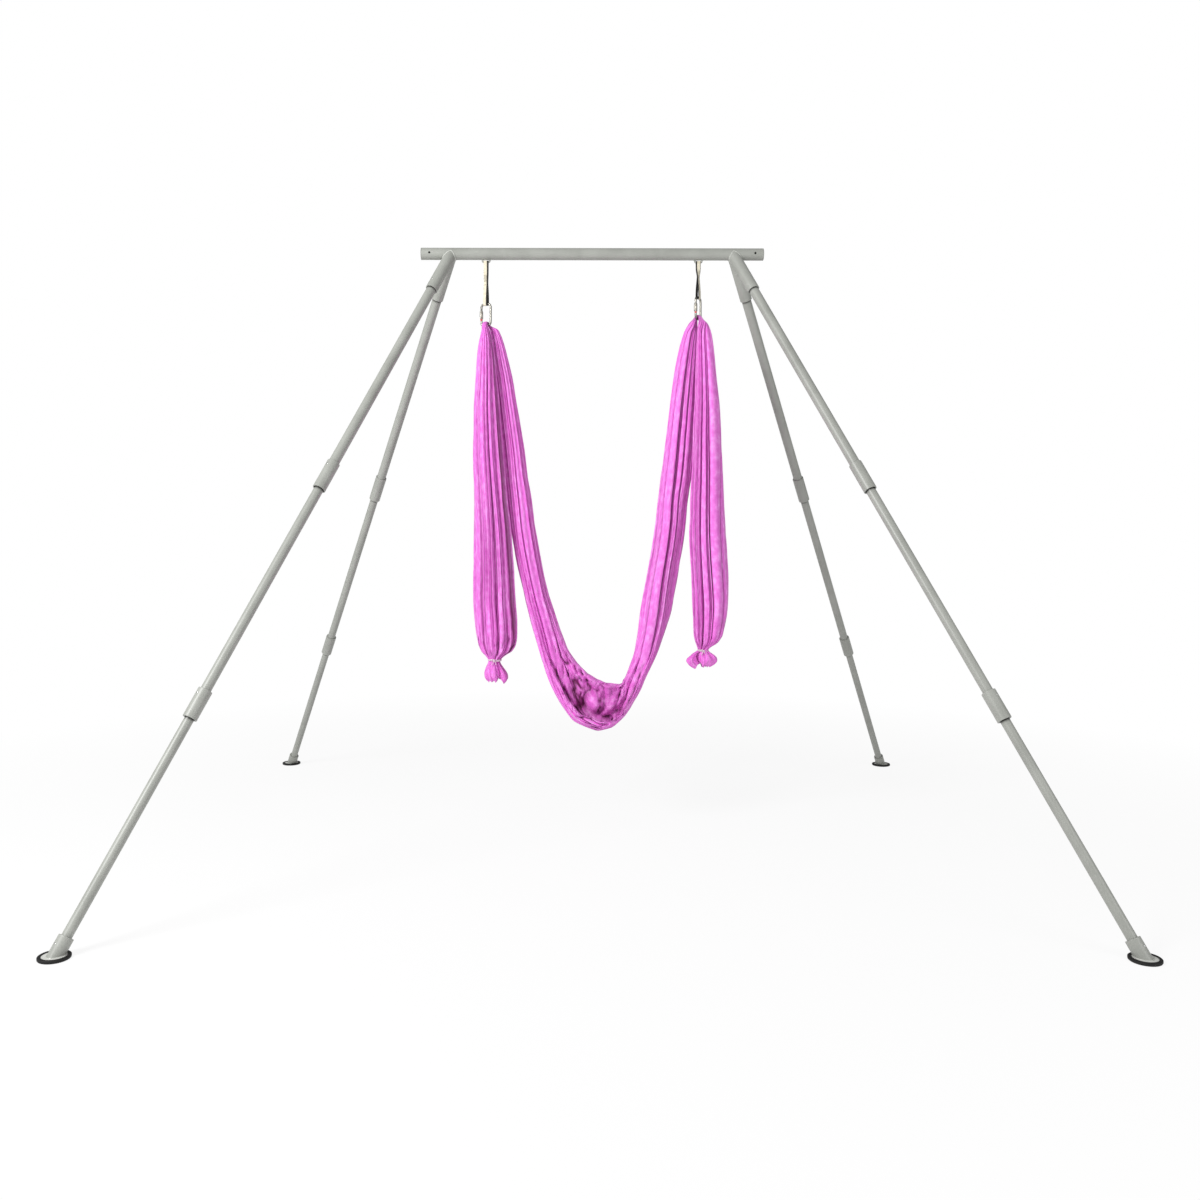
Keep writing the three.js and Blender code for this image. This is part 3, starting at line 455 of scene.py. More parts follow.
class Bench:
    """One material's nodes, added and joined by short calls."""

    def __init__(self, name: str) -> None:
        """Start a material with a shader and an output."""
        self.material = bpy.data.materials.new(name)
        self.material.use_nodes = True
        self.tree = self.material.node_tree
        self.tree.nodes.clear()
        self.shader = self.add("ShaderNodeBsdfPrincipled")
        output = self.add("ShaderNodeOutputMaterial")
        self.join(self.shader.outputs["BSDF"], output.inputs["Surface"])

    def add(self, kind: str, **settings: object) -> bpy.types.Node:
        """Add a node and set its own settings."""
        node = self.tree.nodes.new(kind)
        for key, value in settings.items():
            setattr(node, key, value)
        return node

    def join(self, source: Socket, target: Socket) -> None:
        """Link an output to an input."""
        self.tree.links.new(source, target)

    def set(self, **values: object) -> None:
        """Set the shader's own sockets; an underscore in a name stands for a space."""
        for key, value in values.items():
            self.shader.inputs[key.replace("_", " ")].default_value = value

    def place(self, scale: tuple | float, uv: bool = False) -> Socket:
        """Where a pattern is read: the object's or the cloth's own coordinates, scaled.

        Args:
            scale: How many pattern units fit in a metre, in all or along each direction.
            uv: Whether the cloth's coordinates are read.

        Returns:
            The scaled coordinates.
        """
        if uv:
            source = self.add("ShaderNodeUVMap", uv_map="Cloth").outputs["UV"]
        else:
            source = self.add("ShaderNodeTexCoord").outputs["Object"]
        mapping = self.add("ShaderNodeMapping")
        mapping.inputs["Scale"].default_value = scale if isinstance(scale, tuple) else (scale,) * 3
        self.join(source, mapping.inputs["Vector"])
        return mapping.outputs["Vector"]

    def cloth_axes(self) -> tuple[Socket, Socket]:
        """The cloth's two coordinates: across and along."""
        parts = self.add("ShaderNodeSeparateXYZ")
        self.join(self.place(1.0, uv=True), parts.inputs["Vector"])
        return parts.outputs["X"], parts.outputs["Y"]

    def noise(self, scale: tuple | float, detail: float, rough: float = 0.5, uv: bool = False) -> Socket:
        """Cloudy noise.

        Args:
            scale: How many clouds fit in a metre, in all or along each direction.
            detail: How many finer layers it has.
            rough: How much the finer layers show.
            uv: Whether it lies on the cloth's coordinates.

        Returns:
            The noise, from 0 to 1.
        """
        place = self.place(scale, uv)
        node = self.add("ShaderNodeTexNoise")
        node.inputs["Scale"].default_value = 1.0
        node.inputs["Detail"].default_value = detail
        node.inputs["Roughness"].default_value = rough
        self.join(place, node.inputs["Vector"])
        return node.outputs["Fac"]

    def ramp(self, value: Socket, *stops: tuple[float, tuple]) -> Socket:
        """A colour for each value, blended between the stops.

        Args:
            value: What the ramp reads.
            stops: Places from 0 to 1 with their colours.

        Returns:
            The colour.
        """
        node = self.add("ShaderNodeValToRGB")
        marks = node.color_ramp.elements
        while len(marks) < len(stops):
            marks.new(0.5)
        for mark, (place, colour) in zip(marks, sorted(stops)):
            mark.position, mark.color = place, colour
        self.join(value, node.inputs["Fac"])
        return node.outputs["Color"]

    def spread(self, value: Socket, low: float, high: float) -> Socket:
        """Spread a value that runs from 0 to 1 between low and high."""
        node = self.add("ShaderNodeMapRange")
        node.inputs["To Min"].default_value = low
        node.inputs["To Max"].default_value = high
        self.join(value, node.inputs["Value"])
        return node.outputs["Result"]

    def maths(self, kind: str, *values: object) -> Socket:
        """One sum: each value is a number or an output."""
        node = self.add("ShaderNodeMath", operation=kind)
        for socket, value in zip(node.inputs, values):
            if isinstance(value, (int, float)):
                socket.default_value = value
            else:
                self.join(value, socket)
        return node.outputs["Value"]

    def bump(self, height: Socket, distance: float, strength: float, under: Socket | None = None) -> Socket:
        """Raise the surface by a height.

        Args:
            height: The pattern, from 0 to 1.
            distance: How high 1 stands, in metres.
            strength: How much of it shows.
            under: A coarser relief that it lies on.

        Returns:
            The normal.
        """
        node = self.add("ShaderNodeBump")
        node.inputs["Distance"].default_value = distance
        node.inputs["Strength"].default_value = strength
        self.join(height, node.inputs["Height"])
        if under is not None:
            self.join(under, node.inputs["Normal"])
        return node.outputs["Normal"]

    def mixed(self, share: Socket, first: Socket, second: Socket | tuple) -> Socket:
        """The first colour where the share is 0, blended into the second where it is 1."""
        mix = self.add("ShaderNodeMix", data_type="RGBA")
        self.join(share, mix.inputs["Factor"])
        self.join(first, mix.inputs["A"])
        if isinstance(second, tuple):
            mix.inputs["B"].default_value = second
        else:
            self.join(second, mix.inputs["B"])
        return mix.outputs["Result"]

    def darkened(self, colour: Socket, deep: tuple) -> Socket:
        """Painted shade: the colour, mixed with a deep one by the shade value that the mesh carries."""
        fold = self.add("ShaderNodeAttribute", attribute_name="Fold")
        return self.mixed(fold.outputs["Fac"], colour, deep)

    def finish(self, **links: Socket) -> bpy.types.Material:
        """Join the given outputs to the shader's sockets and return the material."""
        for key, value in links.items():
            self.join(value, self.shader.inputs[key.replace("_", " ")])
        return self.material


@dataclass(frozen=True)
class Mottled:
    """A finish made of noises: it runs between two tones, in its gloss and in a fine relief.

    Each noise is its scale, its detail and, where it isn't 0.5, its roughness. The reads say
    which noise gives the tones, which the gloss and which the relief. Where there is a gap
    colour, it is painted shade: the shade value that the mesh carries darkens the tones towards it.
    """

    name: str
    slot: str
    noises: tuple
    tones: tuple
    gloss: tuple[float, float] | float
    relief: tuple[float, float] | None = None
    reads: tuple[int, int, int] = (0, 0, 0)
    gap: tuple | None = None
    sockets: tuple = ()
    uv: bool = False

    def material(self) -> bpy.types.Material:
        """Join the noises to colour, roughness and normal."""
        bench = Bench(self.name)
        noises = [bench.noise(*noise, uv=self.uv) for noise in self.noises]
        bench.set(**dict(self.sockets))
        tone, gloss, relief = (noises[index] for index in self.reads)
        links = {"Base_Color": bench.ramp(tone, *self.tones)}
        if self.gap:
            links["Base_Color"] = bench.darkened(links["Base_Color"], self.gap)
        if isinstance(self.gloss, tuple):
            links["Roughness"] = bench.spread(gloss, *self.gloss)
        else:
            bench.set(Roughness=self.gloss)
        if self.relief:
            links["Normal"] = bench.bump(relief, *self.relief)
        return bench.finish(**links)


# the gap colour is painted shade: the tones darken towards it where the mesh carries shade, just below each
# sleeve's lip
POWDER_COAT = Mottled(
    "powder_coat", "frame", ((9.0, 4.0), (620.0, 2.0)),
    ((0.3, linear(150, 152, 146)), (0.6, linear(160, 162, 156))),
    gloss=(0.37, 0.48), relief=(0.00012, 0.5), reads=(0, 0, 1), gap=linear(34, 34, 32),
    sockets=(("Specular_IOR_Level", 0.45), ("Coat_Weight", 0.08), ("Coat_Roughness", 0.25)),
)
# a lighter copy of the same powder coat for the foot plates: painted light
PAINTED_LIGHT_COAT = replace(POWDER_COAT, tones=((0.3, linear(192, 193, 188)), (0.6, linear(206, 207, 202))))
# a lighter copy of the same powder coat for the weld beads: painted light
PAINTED_LIGHT_WELD_COAT = Mottled(
    "powder_coat_on_weld", "frame", ((140.0, 3.0),),
    ((0.3, linear(176, 178, 172)), (0.65, linear(196, 198, 192))),
    gloss=(0.24, 0.36), relief=(0.0006, 0.5),
    sockets=(("Specular_IOR_Level", 0.6), ("Coat_Weight", 0.2), ("Coat_Roughness", 0.2)),
)
END_PLASTIC = Mottled(
    "end_plastic", "plug", ((1400.0, 2.0), (60.0, 2.0)),
    ((0.3, linear(146, 148, 143)), (0.7, linear(158, 160, 155))),
    gloss=(0.5, 0.66), relief=(0.0001, 0.4), reads=(1, 0, 0),
)
RUBBER = Mottled(
    "black_rubber", "rubber", ((70.0, 5.0, 0.6), (900.0, 2.0)),
    ((0.45, linear(13, 13, 13)), (0.8, linear(32, 31, 29))),
    gloss=(0.55, 0.8), relief=(0.00015, 0.5), reads=(0, 0, 1), sockets=(("Specular_IOR_Level", 0.4),),
)
BRIGHT_ZINC = Mottled(
    "bright_zinc", "button", ((500.0, 4.0),),
    ((0.3, linear(178, 178, 176)), (0.6, linear(214, 215, 214))),
    gloss=(0.2, 0.38), relief=(0.00005, 0.4), sockets=(("Metallic", 1.0),),
)
RED_LACQUER = Mottled(
    "red_lacquer", "sleeve", ((400.0, 3.0),),
    ((0.25, linear(150, 24, 28)), (0.5, linear(196, 38, 40))),
    gloss=(0.25, 0.42), sockets=(("Coat_Weight", 0.4), ("Coat_Roughness", 0.12)),
)
TACK_THREAD = Mottled(
    "tack_thread", "webbing", ((1600.0, 2.0),),
    ((0.3, linear(34, 30, 28)), (0.7, linear(58, 52, 46))),
    gloss=0.6, relief=(0.0001, 0.5),
)
TIE_STRING = Mottled(
    "tie_string", "string", (((5.0, 900.0, 1.0), 2.0),),
    ((0.3, linear(208, 176, 198)), (0.65, linear(240, 226, 232))),
    gloss=0.85, relief=(0.0004, 0.6), sockets=(("Sheen_Weight", 0.3),), uv=True,
)


@dataclass(frozen=True)
class PolishedSteel:
    """Polished steel of the carabiners, with a painted reflection: bright, and dark where it turns away."""

    slot: str = "carabiner"
    colour: tuple = linear(140, 138, 131)
    # the edge colour is painted reflection, taken where the surface turns away from the camera
    edge: tuple = linear(14, 14, 16)

    def material(self) -> bpy.types.Material:
        """Mirror-like metal with a painted reflection: the facing share darkens its outline in the colour.
        """
        bench = Bench("polished_steel")
        facing = bench.add("ShaderNodeLayerWeight")
        facing.inputs["Blend"].default_value = 0.45
        fine = bench.noise(260.0, 4.0)
        bench.set(Metallic=1.0)
        return bench.finish(
            Base_Color=bench.ramp(facing.outputs["Facing"], (0.22, self.colour), (0.6, self.edge)),
            Roughness=bench.spread(fine, 0.24, 0.36),
            Normal=bench.bump(fine, 0.00004, 0.3),
        )


@dataclass(frozen=True)
class KnurledSleeve:
    """Pale anodised sleeve with a diamond knurl, and painted shade in its grooves."""

    slot: str = "sleeve"
    colour: tuple = linear(178, 174, 164)
    groove_shade: tuple = linear(52, 50, 47)
    starts: float = 150.8
    pitch: float = 110.0

    def material(self) -> bpy.types.Material:
        """Two crossed sets of ridges, all over the sleeve."""
        bench = Bench("knurled_sleeve")
        round_it, along = bench.cloth_axes()
        slanting = []
        for lean in ("ADD", "SUBTRACT"):
            turns = bench.maths("MULTIPLY", round_it, self.starts)
            slanting.append(bench.maths(lean, turns, bench.maths("MULTIPLY", along, self.pitch)))
        waves = [bench.maths("ABSOLUTE", bench.maths("SINE", slant)) for slant in slanting]
        ridges = bench.maths("MAXIMUM", *waves)
        bench.set(Metallic=0.85)
        return bench.finish(
            # painted shade: the grooves between the ridges take the dark colour
            Base_Color=bench.ramp(ridges, (0.35, self.groove_shade), (0.9, self.colour)),
            Roughness=bench.spread(ridges, 0.55, 0.3),
            Normal=bench.bump(ridges, 0.0005, 0.8),
        )


@dataclass(frozen=True)
class Webbing:
    """Flat webbing, cream outside and black inside; its UV runs round the ply and along it."""

    slot: str = "webbing"
    cream: tuple = linear(226, 219, 198)
    soiled: tuple = linear(204, 196, 172)
    # dark bands along the outer face's two edges, as shares of the way round the ply
    left_dark_band: float = 0.0
    right_dark_band: float = 0.02

    def material(self) -> bpy.types.Material:
        """Ribs across, a herringbone along, the two faces told apart round the ply, and dark bands
        of given widths along the outer face's edges.
        """
        bench = Bench("webbing_weave")
        across, along = bench.cloth_axes()
        ribs = [bench.maths("ABSOLUTE", bench.maths("SINE", bench.maths("MULTIPLY", way, count)))
                for way, count in ((across, 66.0), (along, 1900.0))]
        weave = bench.maths("MULTIPLY", bench.maths("ADD", *ribs), 0.5)
        soil = bench.noise((90.0, 90.0, 60.0), 4.0)
        outer = bench.ramp(soil, (0.3, self.soiled), (0.62, self.cream))
        inner = bench.ramp(weave, (0.2, linear(14, 14, 14)), (0.9, linear(44, 42, 40)))
        pale, dark = (0.0, 0.0, 0.0, 1.0), (1.0, 1.0, 1.0, 1.0)
        left, right = self.left_dark_band, 0.47 - self.right_dark_band
        face = bench.ramp(across, (left, dark), (left + 0.02, pale), (right, pale), (right + 0.02, dark))
        cloth = bench.mixed(face, outer, inner)
        bench.set(Roughness=0.86, Sheen_Weight=0.2)
        return bench.finish(Base_Color=cloth, Normal=bench.bump(weave, 0.0004, 0.7))


@dataclass(frozen=True)
class SatinTricot:
    """Orchid nylon tricot: satin gloss, fine knit lines and crinkles along the cloth."""

    slot: str = "silk"
    colour: tuple = linear(237, 122, 222)
    # deep and light are painted shade and highlight on the crinkles and streaks; shadow is painted shade in
    # the folds
    deep: tuple = linear(216, 84, 198)
    light: tuple = linear(252, 176, 247)
    shadow: tuple = linear(100, 3, 70)
    roughness: float = 0.42

    def material(self) -> bpy.types.Material:
        """Long streaks, short crinkles and the knit, read on the cloth's own metres. The colour has painted
        highlight and shade on the streaks and crinkles, and painted shade in the folds, deep in tint
        where light has bounced off the cloth many times."""
        bench = Bench("satin_tricot")
        streak = bench.noise((30.0, 1.6, 1.0), 2.0, uv=True)
        crinkle = bench.noise((40.0, 24.0, 1.0), 5.0, 0.62, uv=True)
        soft = bench.noise((13.0, 6.0, 1.0), 3.0, uv=True)
        knit = bench.noise((1500.0, 420.0, 1.0), 1.0, uv=True)
        relief = bench.bump(soft, 0.014, 0.40)
        relief = bench.bump(streak, 0.007, 0.14, relief)
        relief = bench.bump(crinkle, 0.0060, 0.70, relief)
        relief = bench.bump(knit, 0.0002, 0.3, relief)
        bench.set(Sheen_Weight=0.22, Sheen_Roughness=0.4, Sheen_Tint=(1.0, 0.85, 1.0, 1.0),
                  Specular_IOR_Level=0.34)
        # painted highlight and shade: lighter where the crinkles and streaks stand up in the bump, deeper
        # between them
        mottle = bench.maths("MULTIPLY_ADD", crinkle, 0.62, bench.maths("MULTIPLY", streak, 0.38))
        tint = bench.ramp(mottle, (0.30, self.deep), (0.5, self.colour), (0.68, self.light))
        return bench.finish(
            Base_Color=bench.darkened(tint, self.shadow),
            Roughness=bench.spread(crinkle, self.roughness - 0.08, self.roughness + 0.1),
            Normal=relief,
        )


@dataclass(frozen=True)
class PaleFloor:
    """The studio floor, which fades into the white of the backdrop."""

    colour: tuple = (0.93, 0.93, 0.93, 1.0)
    clear_radius: float = 2.2
    white_radius: float = 5.0
    glow: float = 0.88

    def material(self) -> bpy.types.Material:
        """Diffuse near the rig, plain white far away, and for reflections."""
        bench = Bench("pale_floor")
        bench.set(Base_Color=self.colour, Roughness=0.9, Specular_IOR_Level=0.0)
        parts = bench.add("ShaderNodeVectorMath", operation="LENGTH")
        bench.join(bench.place(1.0), parts.inputs[0])
        fade = bench.add("ShaderNodeMapRange")
        fade.inputs["From Min"].default_value = self.clear_radius
        fade.inputs["From Max"].default_value = self.white_radius
        fade.inputs["To Min"].default_value = self.glow
        bench.join(parts.outputs["Value"], fade.inputs["Value"])
        path = bench.add("ShaderNodeLightPath")
        seen = bench.maths("MAXIMUM", path.outputs["Is Camera Ray"], path.outputs["Is Glossy Ray"])
        seen = bench.maths("MAXIMUM", seen, path.outputs["Is Transmission Ray"])
        white = bench.add("ShaderNodeEmission")
        mix = bench.add("ShaderNodeMixShader")
        bench.join(bench.maths("MULTIPLY", fade.outputs["Result"], seen), mix.inputs["Fac"])
        bench.join(bench.shader.outputs["BSDF"], mix.inputs[1])
        bench.join(white.outputs["Emission"], mix.inputs[2])
        output = next(n for n in bench.tree.nodes if n.bl_idname == "ShaderNodeOutputMaterial")
        bench.join(mix.outputs["Shader"], output.inputs["Surface"])
        return bench.material


@dataclass
class Wardrobe:
    """Every finish, made once and handed to the pieces."""

    made: dict[str, bpy.types.Material] = field(default_factory=dict)

    def dress(self, piece: bpy.types.Object, finish: object) -> bpy.types.Object:
        """Give a piece its finish.

        Args:
            piece: The object.
            finish: One of the finishes above.

        Returns:
            The same object.
        """
        key = repr(finish)
        if key not in self.made:
            self.made[key] = finish.material()
        piece.data.materials.clear()
        piece.data.materials.append(self.made[key])
        log.info("%s: %s, %d faces", piece.name, self.made[key].name, len(piece.data.polygons))
        return piece


WARDROBE = Wardrobe()


def fitted(piece: bpy.types.Object, finish: object, body: str = "frame", node: str = "") -> None:
    """Dress a piece, let it ride on its body and take the place of its node.

    Args:
        piece: The object.
        finish: What it wears.
        body: The body that carries it.
        node: The node that it replaces, if it does.
    """
    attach(WARDROBE.dress(piece, finish), body)
    if node:
        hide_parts(node)


@dataclass(frozen=True)
class View:
    """The photograph's camera, which the studio and the cloth's tables share."""

    lens_px: float = 1069.0
    frame_px: float = 1200.0
    stand: tuple[float, float, float] = (-0.107, -5.394, 1.502)
    centre_px: tuple[float, float] = (570.4, 535.2)
    roll: float = math.radians(-0.12)

    def seen(self, px: float, py: float, y: float) -> Array:
        """The point of the depth y that the camera sees at a pixel of the photograph.

        Args:
            px: The pixel's column.
            py: The pixel's row.
            y: The depth.

        Returns:
            The point.
        """
        scale = (y - self.stand[1]) / self.lens_px
        return np.array([self.stand[0] + (px - self.centre_px[0]) * scale, y,
                         self.stand[2] - (py - self.centre_px[1]) * scale])


VIEW = View()


@dataclass(frozen=True)
class Stance:
    """Where the beam and the feet stand, and the sizes that their pieces share."""

    beam_height: float = 2.920
    beam_length: float = 1.719
    beam_radius: float = 0.030
    root_x: float = 0.710
    foot_x: float = 1.931
    foot_y: float = 1.610
    eye_x: float = 0.535
    eye_bar: float = 2.879
    socket_radius: float = 0.030
    socket_lip: float = 0.250
    socket_button: float = 0.200
    foot_radius: float = 0.0285
    foot_button: float = 0.044
    well: float = 0.0065

    def root(self, side: Side) -> Array:
        """Where the legs of one side meet on the beam's axis."""
        return np.array([side.value * self.root_x, 0.0, self.beam_height])

    def foot(self, side: Side, row: Row) -> Array:
        """A foot's middle on the floor."""
        return np.array([side.value * self.foot_x, row.value * self.foot_y, 0.0])

    def leg(self, side: Side, row: Row) -> Frame:
        """A leg's frame: up the leg from the foot, and out where the buttons are."""
        foot = self.foot(side, row)
        up = unit(self.root(side) - foot)
        level = unit(foot * np.array([1.0, 1.0, 0.0]) - self.root(side) * np.array([1.0, 1.0, 0.0]))
        out = unit(level - up * (level @ up))
        return Frame(foot, out, np.cross(up, out), up)

    def leg_length(self) -> float:
        """The distance from the foot's middle to the beam's axis."""
        return float(np.linalg.norm(self.root(Side.RIGHT) - self.foot(Side.RIGHT, Row.BACK)))


STANCE = Stance()


@dataclass
class TopBeam:
    """The round beam with its cross holes, hanging eyes and end plugs."""

    wall: float = 0.0025
    hole_diameter: float = 0.011
    hole_inset: float = 0.041
    plug_flange: float = 0.0027
    plug_gap: float = 0.0003
    eye_rod: float = 0.008
    eye_half: float = 0.018
    eye_bend: float = 0.005
    eye_sink: float = 0.001
    bead_stand: float = 0.0008
    bead_drop: float = 0.0004
    bead_rod: float = 0.0016
    bead_ripple: float = 0.0003
    tube_soft: float = 0.0007
    plug_soft: float = 0.0008
    plug_dish: float = 0.0008
    plug_depth: float = 0.022
    plug_wall: float = 0.0025

    def axis(self, x: float, facing: float = 1.0) -> Frame:
        """A frame on the beam's axis, whose up direction points along the beam."""
        origin = np.array([x, 0.0, STANCE.beam_height])
        return Frame(origin, np.array([0, 0, 1.0]), np.array([0, facing, 0]), np.array([facing, 0, 0]))

    def build(self) -> None:
        """Make the beam, its eyes and its plugs."""
        half = STANCE.beam_length / 2
        outer, inner = STANCE.beam_radius, STANCE.beam_radius - self.wall
        corners = [(outer, -half), (outer, half), (inner, half), (inner, -half)]
        beam = to_object("beam_tube", [self.axis(0.0).turned(rounded(corners, self.tube_soft), 64)])
        cutters = []
        for side in Side:
            x = side.value * (half - self.hole_inset)
            cross = Frame(np.array([x, 0.0, STANCE.beam_height]), np.array([1.0, 0, 0]),
                          np.array([0, 0, -1.0]), np.array([0, 1.0, 0]))
            cutters.append(bar_tool("hole_tool", cross, self.hole_diameter / 2, -0.05, 0.05))
        bored(beam, *cutters)
        fitted(beam, POWDER_COAT, "frame", "top_beam")
        for side in Side:
            self.build_eye(side)
            self.build_plug(side)

    def build_eye(self, side: Side) -> None:
        """One staple eye: straight legs, two bends and the bar, with a bead at each foot.

        Args:
            side: Which end it hangs from.
        """
        x = side.value * STANCE.eye_x
        top = STANCE.beam_height - STANCE.beam_radius + self.eye_sink
        bend, half = self.eye_bend, self.eye_half
        quarter = np.linspace(0.0, np.pi / 2, 7)
        low = STANCE.eye_bar
        left = joined(-half + bend * (1 - np.cos(quarter)), low + bend * (1 - np.sin(quarter)))
        bar = np.linspace(-half + bend, half - bend, 8)[1:-1]
        flat = joined(bar, low)
        right = left[::-1] * np.array([-1.0, 1.0])
        line = np.concatenate([[[-half, top]], left, flat, right, [[half, top]]])
        path = joined(x + line[:, 0], 0.0, line[:, 1])
        surfaces = [swept(path, self.eye_rod / 2, 20)]
        for facing in (-1.0, 1.0):
            ring = circle(28)
            reach = self.eye_rod / 2 + self.bead_stand
            y = reach * np.sin(ring)
            z = STANCE.beam_height - np.sqrt(STANCE.beam_radius**2 - y**2) - self.bead_drop
            bead = joined(x + facing * half + reach * np.cos(ring), y, z)
            ripple = self.bead_rod + self.bead_ripple * np.sin(9 * ring)
            surfaces.append(swept(bead, ripple, 8, closed=True, upright=UPRIGHT.up))
        eye = to_object(f"{side.word}_hanging_eye", surfaces)
        fitted(eye, POWDER_COAT, "frame")

    def build_plug(self, side: Side) -> None:
        """One push-in plug with a shallow dished face.

        Args:
            side: Which end it closes.
        """
        end = self.axis(side.value * STANCE.beam_length / 2, float(side.value))
        rim, gap, flange = STANCE.beam_radius, self.plug_gap, self.plug_flange
        inner = rim - self.wall - gap
        face, hollow = gap + flange - self.plug_dish, inner - self.plug_wall
        corners = [(0.0, face), (rim - 0.006, face), (rim - 0.005, gap + flange), (rim, gap + flange),
                   (rim, gap), (inner, gap), (inner, -self.plug_depth), (hollow, -self.plug_depth),
                   (hollow, gap * 0.5), (0.0, gap * 0.5)]
        profile = rounded(corners, self.plug_soft, closed=False)[::-1]
        plug = to_object(f"{side.word}_end_plug", [end.turned(profile, 64, closed=False)])
        fitted(plug, END_PLASTIC, "frame", f"{side.word}_beam_plug")


@dataclass
class SocketPair:
    """Two sockets coped round the beam and welded to each other in a V."""

    bore: float = 0.0244
    beam_gap: float = 0.0003
    soft: float = 0.0012
    well_span: tuple[float, float] = (0.015, 0.04)
    bead_rod: float = 0.0026
    bead_ripple: float = 0.0004
    bead_pitch: float = 0.0042
    sides: int = 72

    def top_station(self, leg: Frame, radius: float) -> Array:
        """Where a wall line meets the beam or the other socket: the line at angle a runs
        down the leg at the given radius, and starts at the lower of the two meetings.

        Args:
            leg: The leg's frame.
            radius: The wall's radius.

        Returns:
            The distance down the leg from the beam's axis, for each angle.
        """
        offset, down = radius * leg.spokes(self.sides), -leg.up
        a = down[1] ** 2 + down[2] ** 2
        b = 2 * (offset[:, 1] * down[1] + offset[:, 2] * down[2])
        c = offset[:, 1] ** 2 + offset[:, 2] ** 2 - (STANCE.beam_radius + self.beam_gap) ** 2
        root = np.sqrt(np.maximum(b * b - 4 * a * c, 0.0))
        return np.maximum((-b + root) / (2 * a), -offset[:, 1] / down[1])

    def wall(self, leg: Frame, root: Array) -> Surface:
        """One socket: its outside, its lip and its bore, all closed into one skin.

        Args:
            leg: The leg's frame.
            root: Where the leg's axis meets the beam's.

        Returns:
            The surface.
        """
        ring = leg.spokes(self.sides)
        radius, lip = STANCE.socket_radius, STANCE.socket_lip
        outer, inner = self.top_station(leg, radius), self.top_station(leg, self.bore)
        rows = [(radius, outer), (radius, outer + 0.002), (radius, 0.5 * (outer + lip)),
                *lip_rows(radius, self.bore, lip, self.soft, self.sides), (self.bore, inner)]
        grid = np.stack([r * ring - s[:, None] * leg.up for r, s in rows])
        return Surface(root + grid, wrap_rows=True, wrap_cols=True, flip=True)

    def bead(self, leg: Frame, root: Array) -> Surface:
        """The weld round the cope: a rippled tube on the line where wall and beam meet.

        Args:
            leg: The leg's frame.
            root: Where the leg's axis meets the beam's.

        Returns:
            The surface.
        """
        station = self.top_station(leg, STANCE.socket_radius)
        path = root + STANCE.socket_radius * leg.spokes(self.sides)
        path = path - station[:, None] * leg.up
        at, path = evenly(np.concatenate([path, path[:1]]), 160)
        ripple = self.bead_rod + self.bead_ripple * np.sin(at * 2 * np.pi / self.bead_pitch)
        return swept(path, ripple, 10, closed=True, upright=leg.up)

    def build(self, side: Side) -> None:
        """Make the pair of one side.

        Args:
            side: Which end of the beam.
        """
        root, beads = STANCE.root(side), []
        for row in Row:
            leg = STANCE.leg(side, row)
            wall = to_object(f"{row.word}_{side.word}_socket", [self.wall(leg, root)])
            button = leg.sideways(STANCE.leg_length() - STANCE.socket_button)
            bored(wall, bar_tool("well_tool", button, STANCE.well, *self.well_span))
            fitted(wall, POWDER_COAT, "frame", f"{side.word}_socket_pair")
            beads.append(self.bead(leg, root))
        weld = to_object(f"{side.word}_socket_weld", beads)
        fitted(weld, PAINTED_LIGHT_WELD_COAT, "frame")


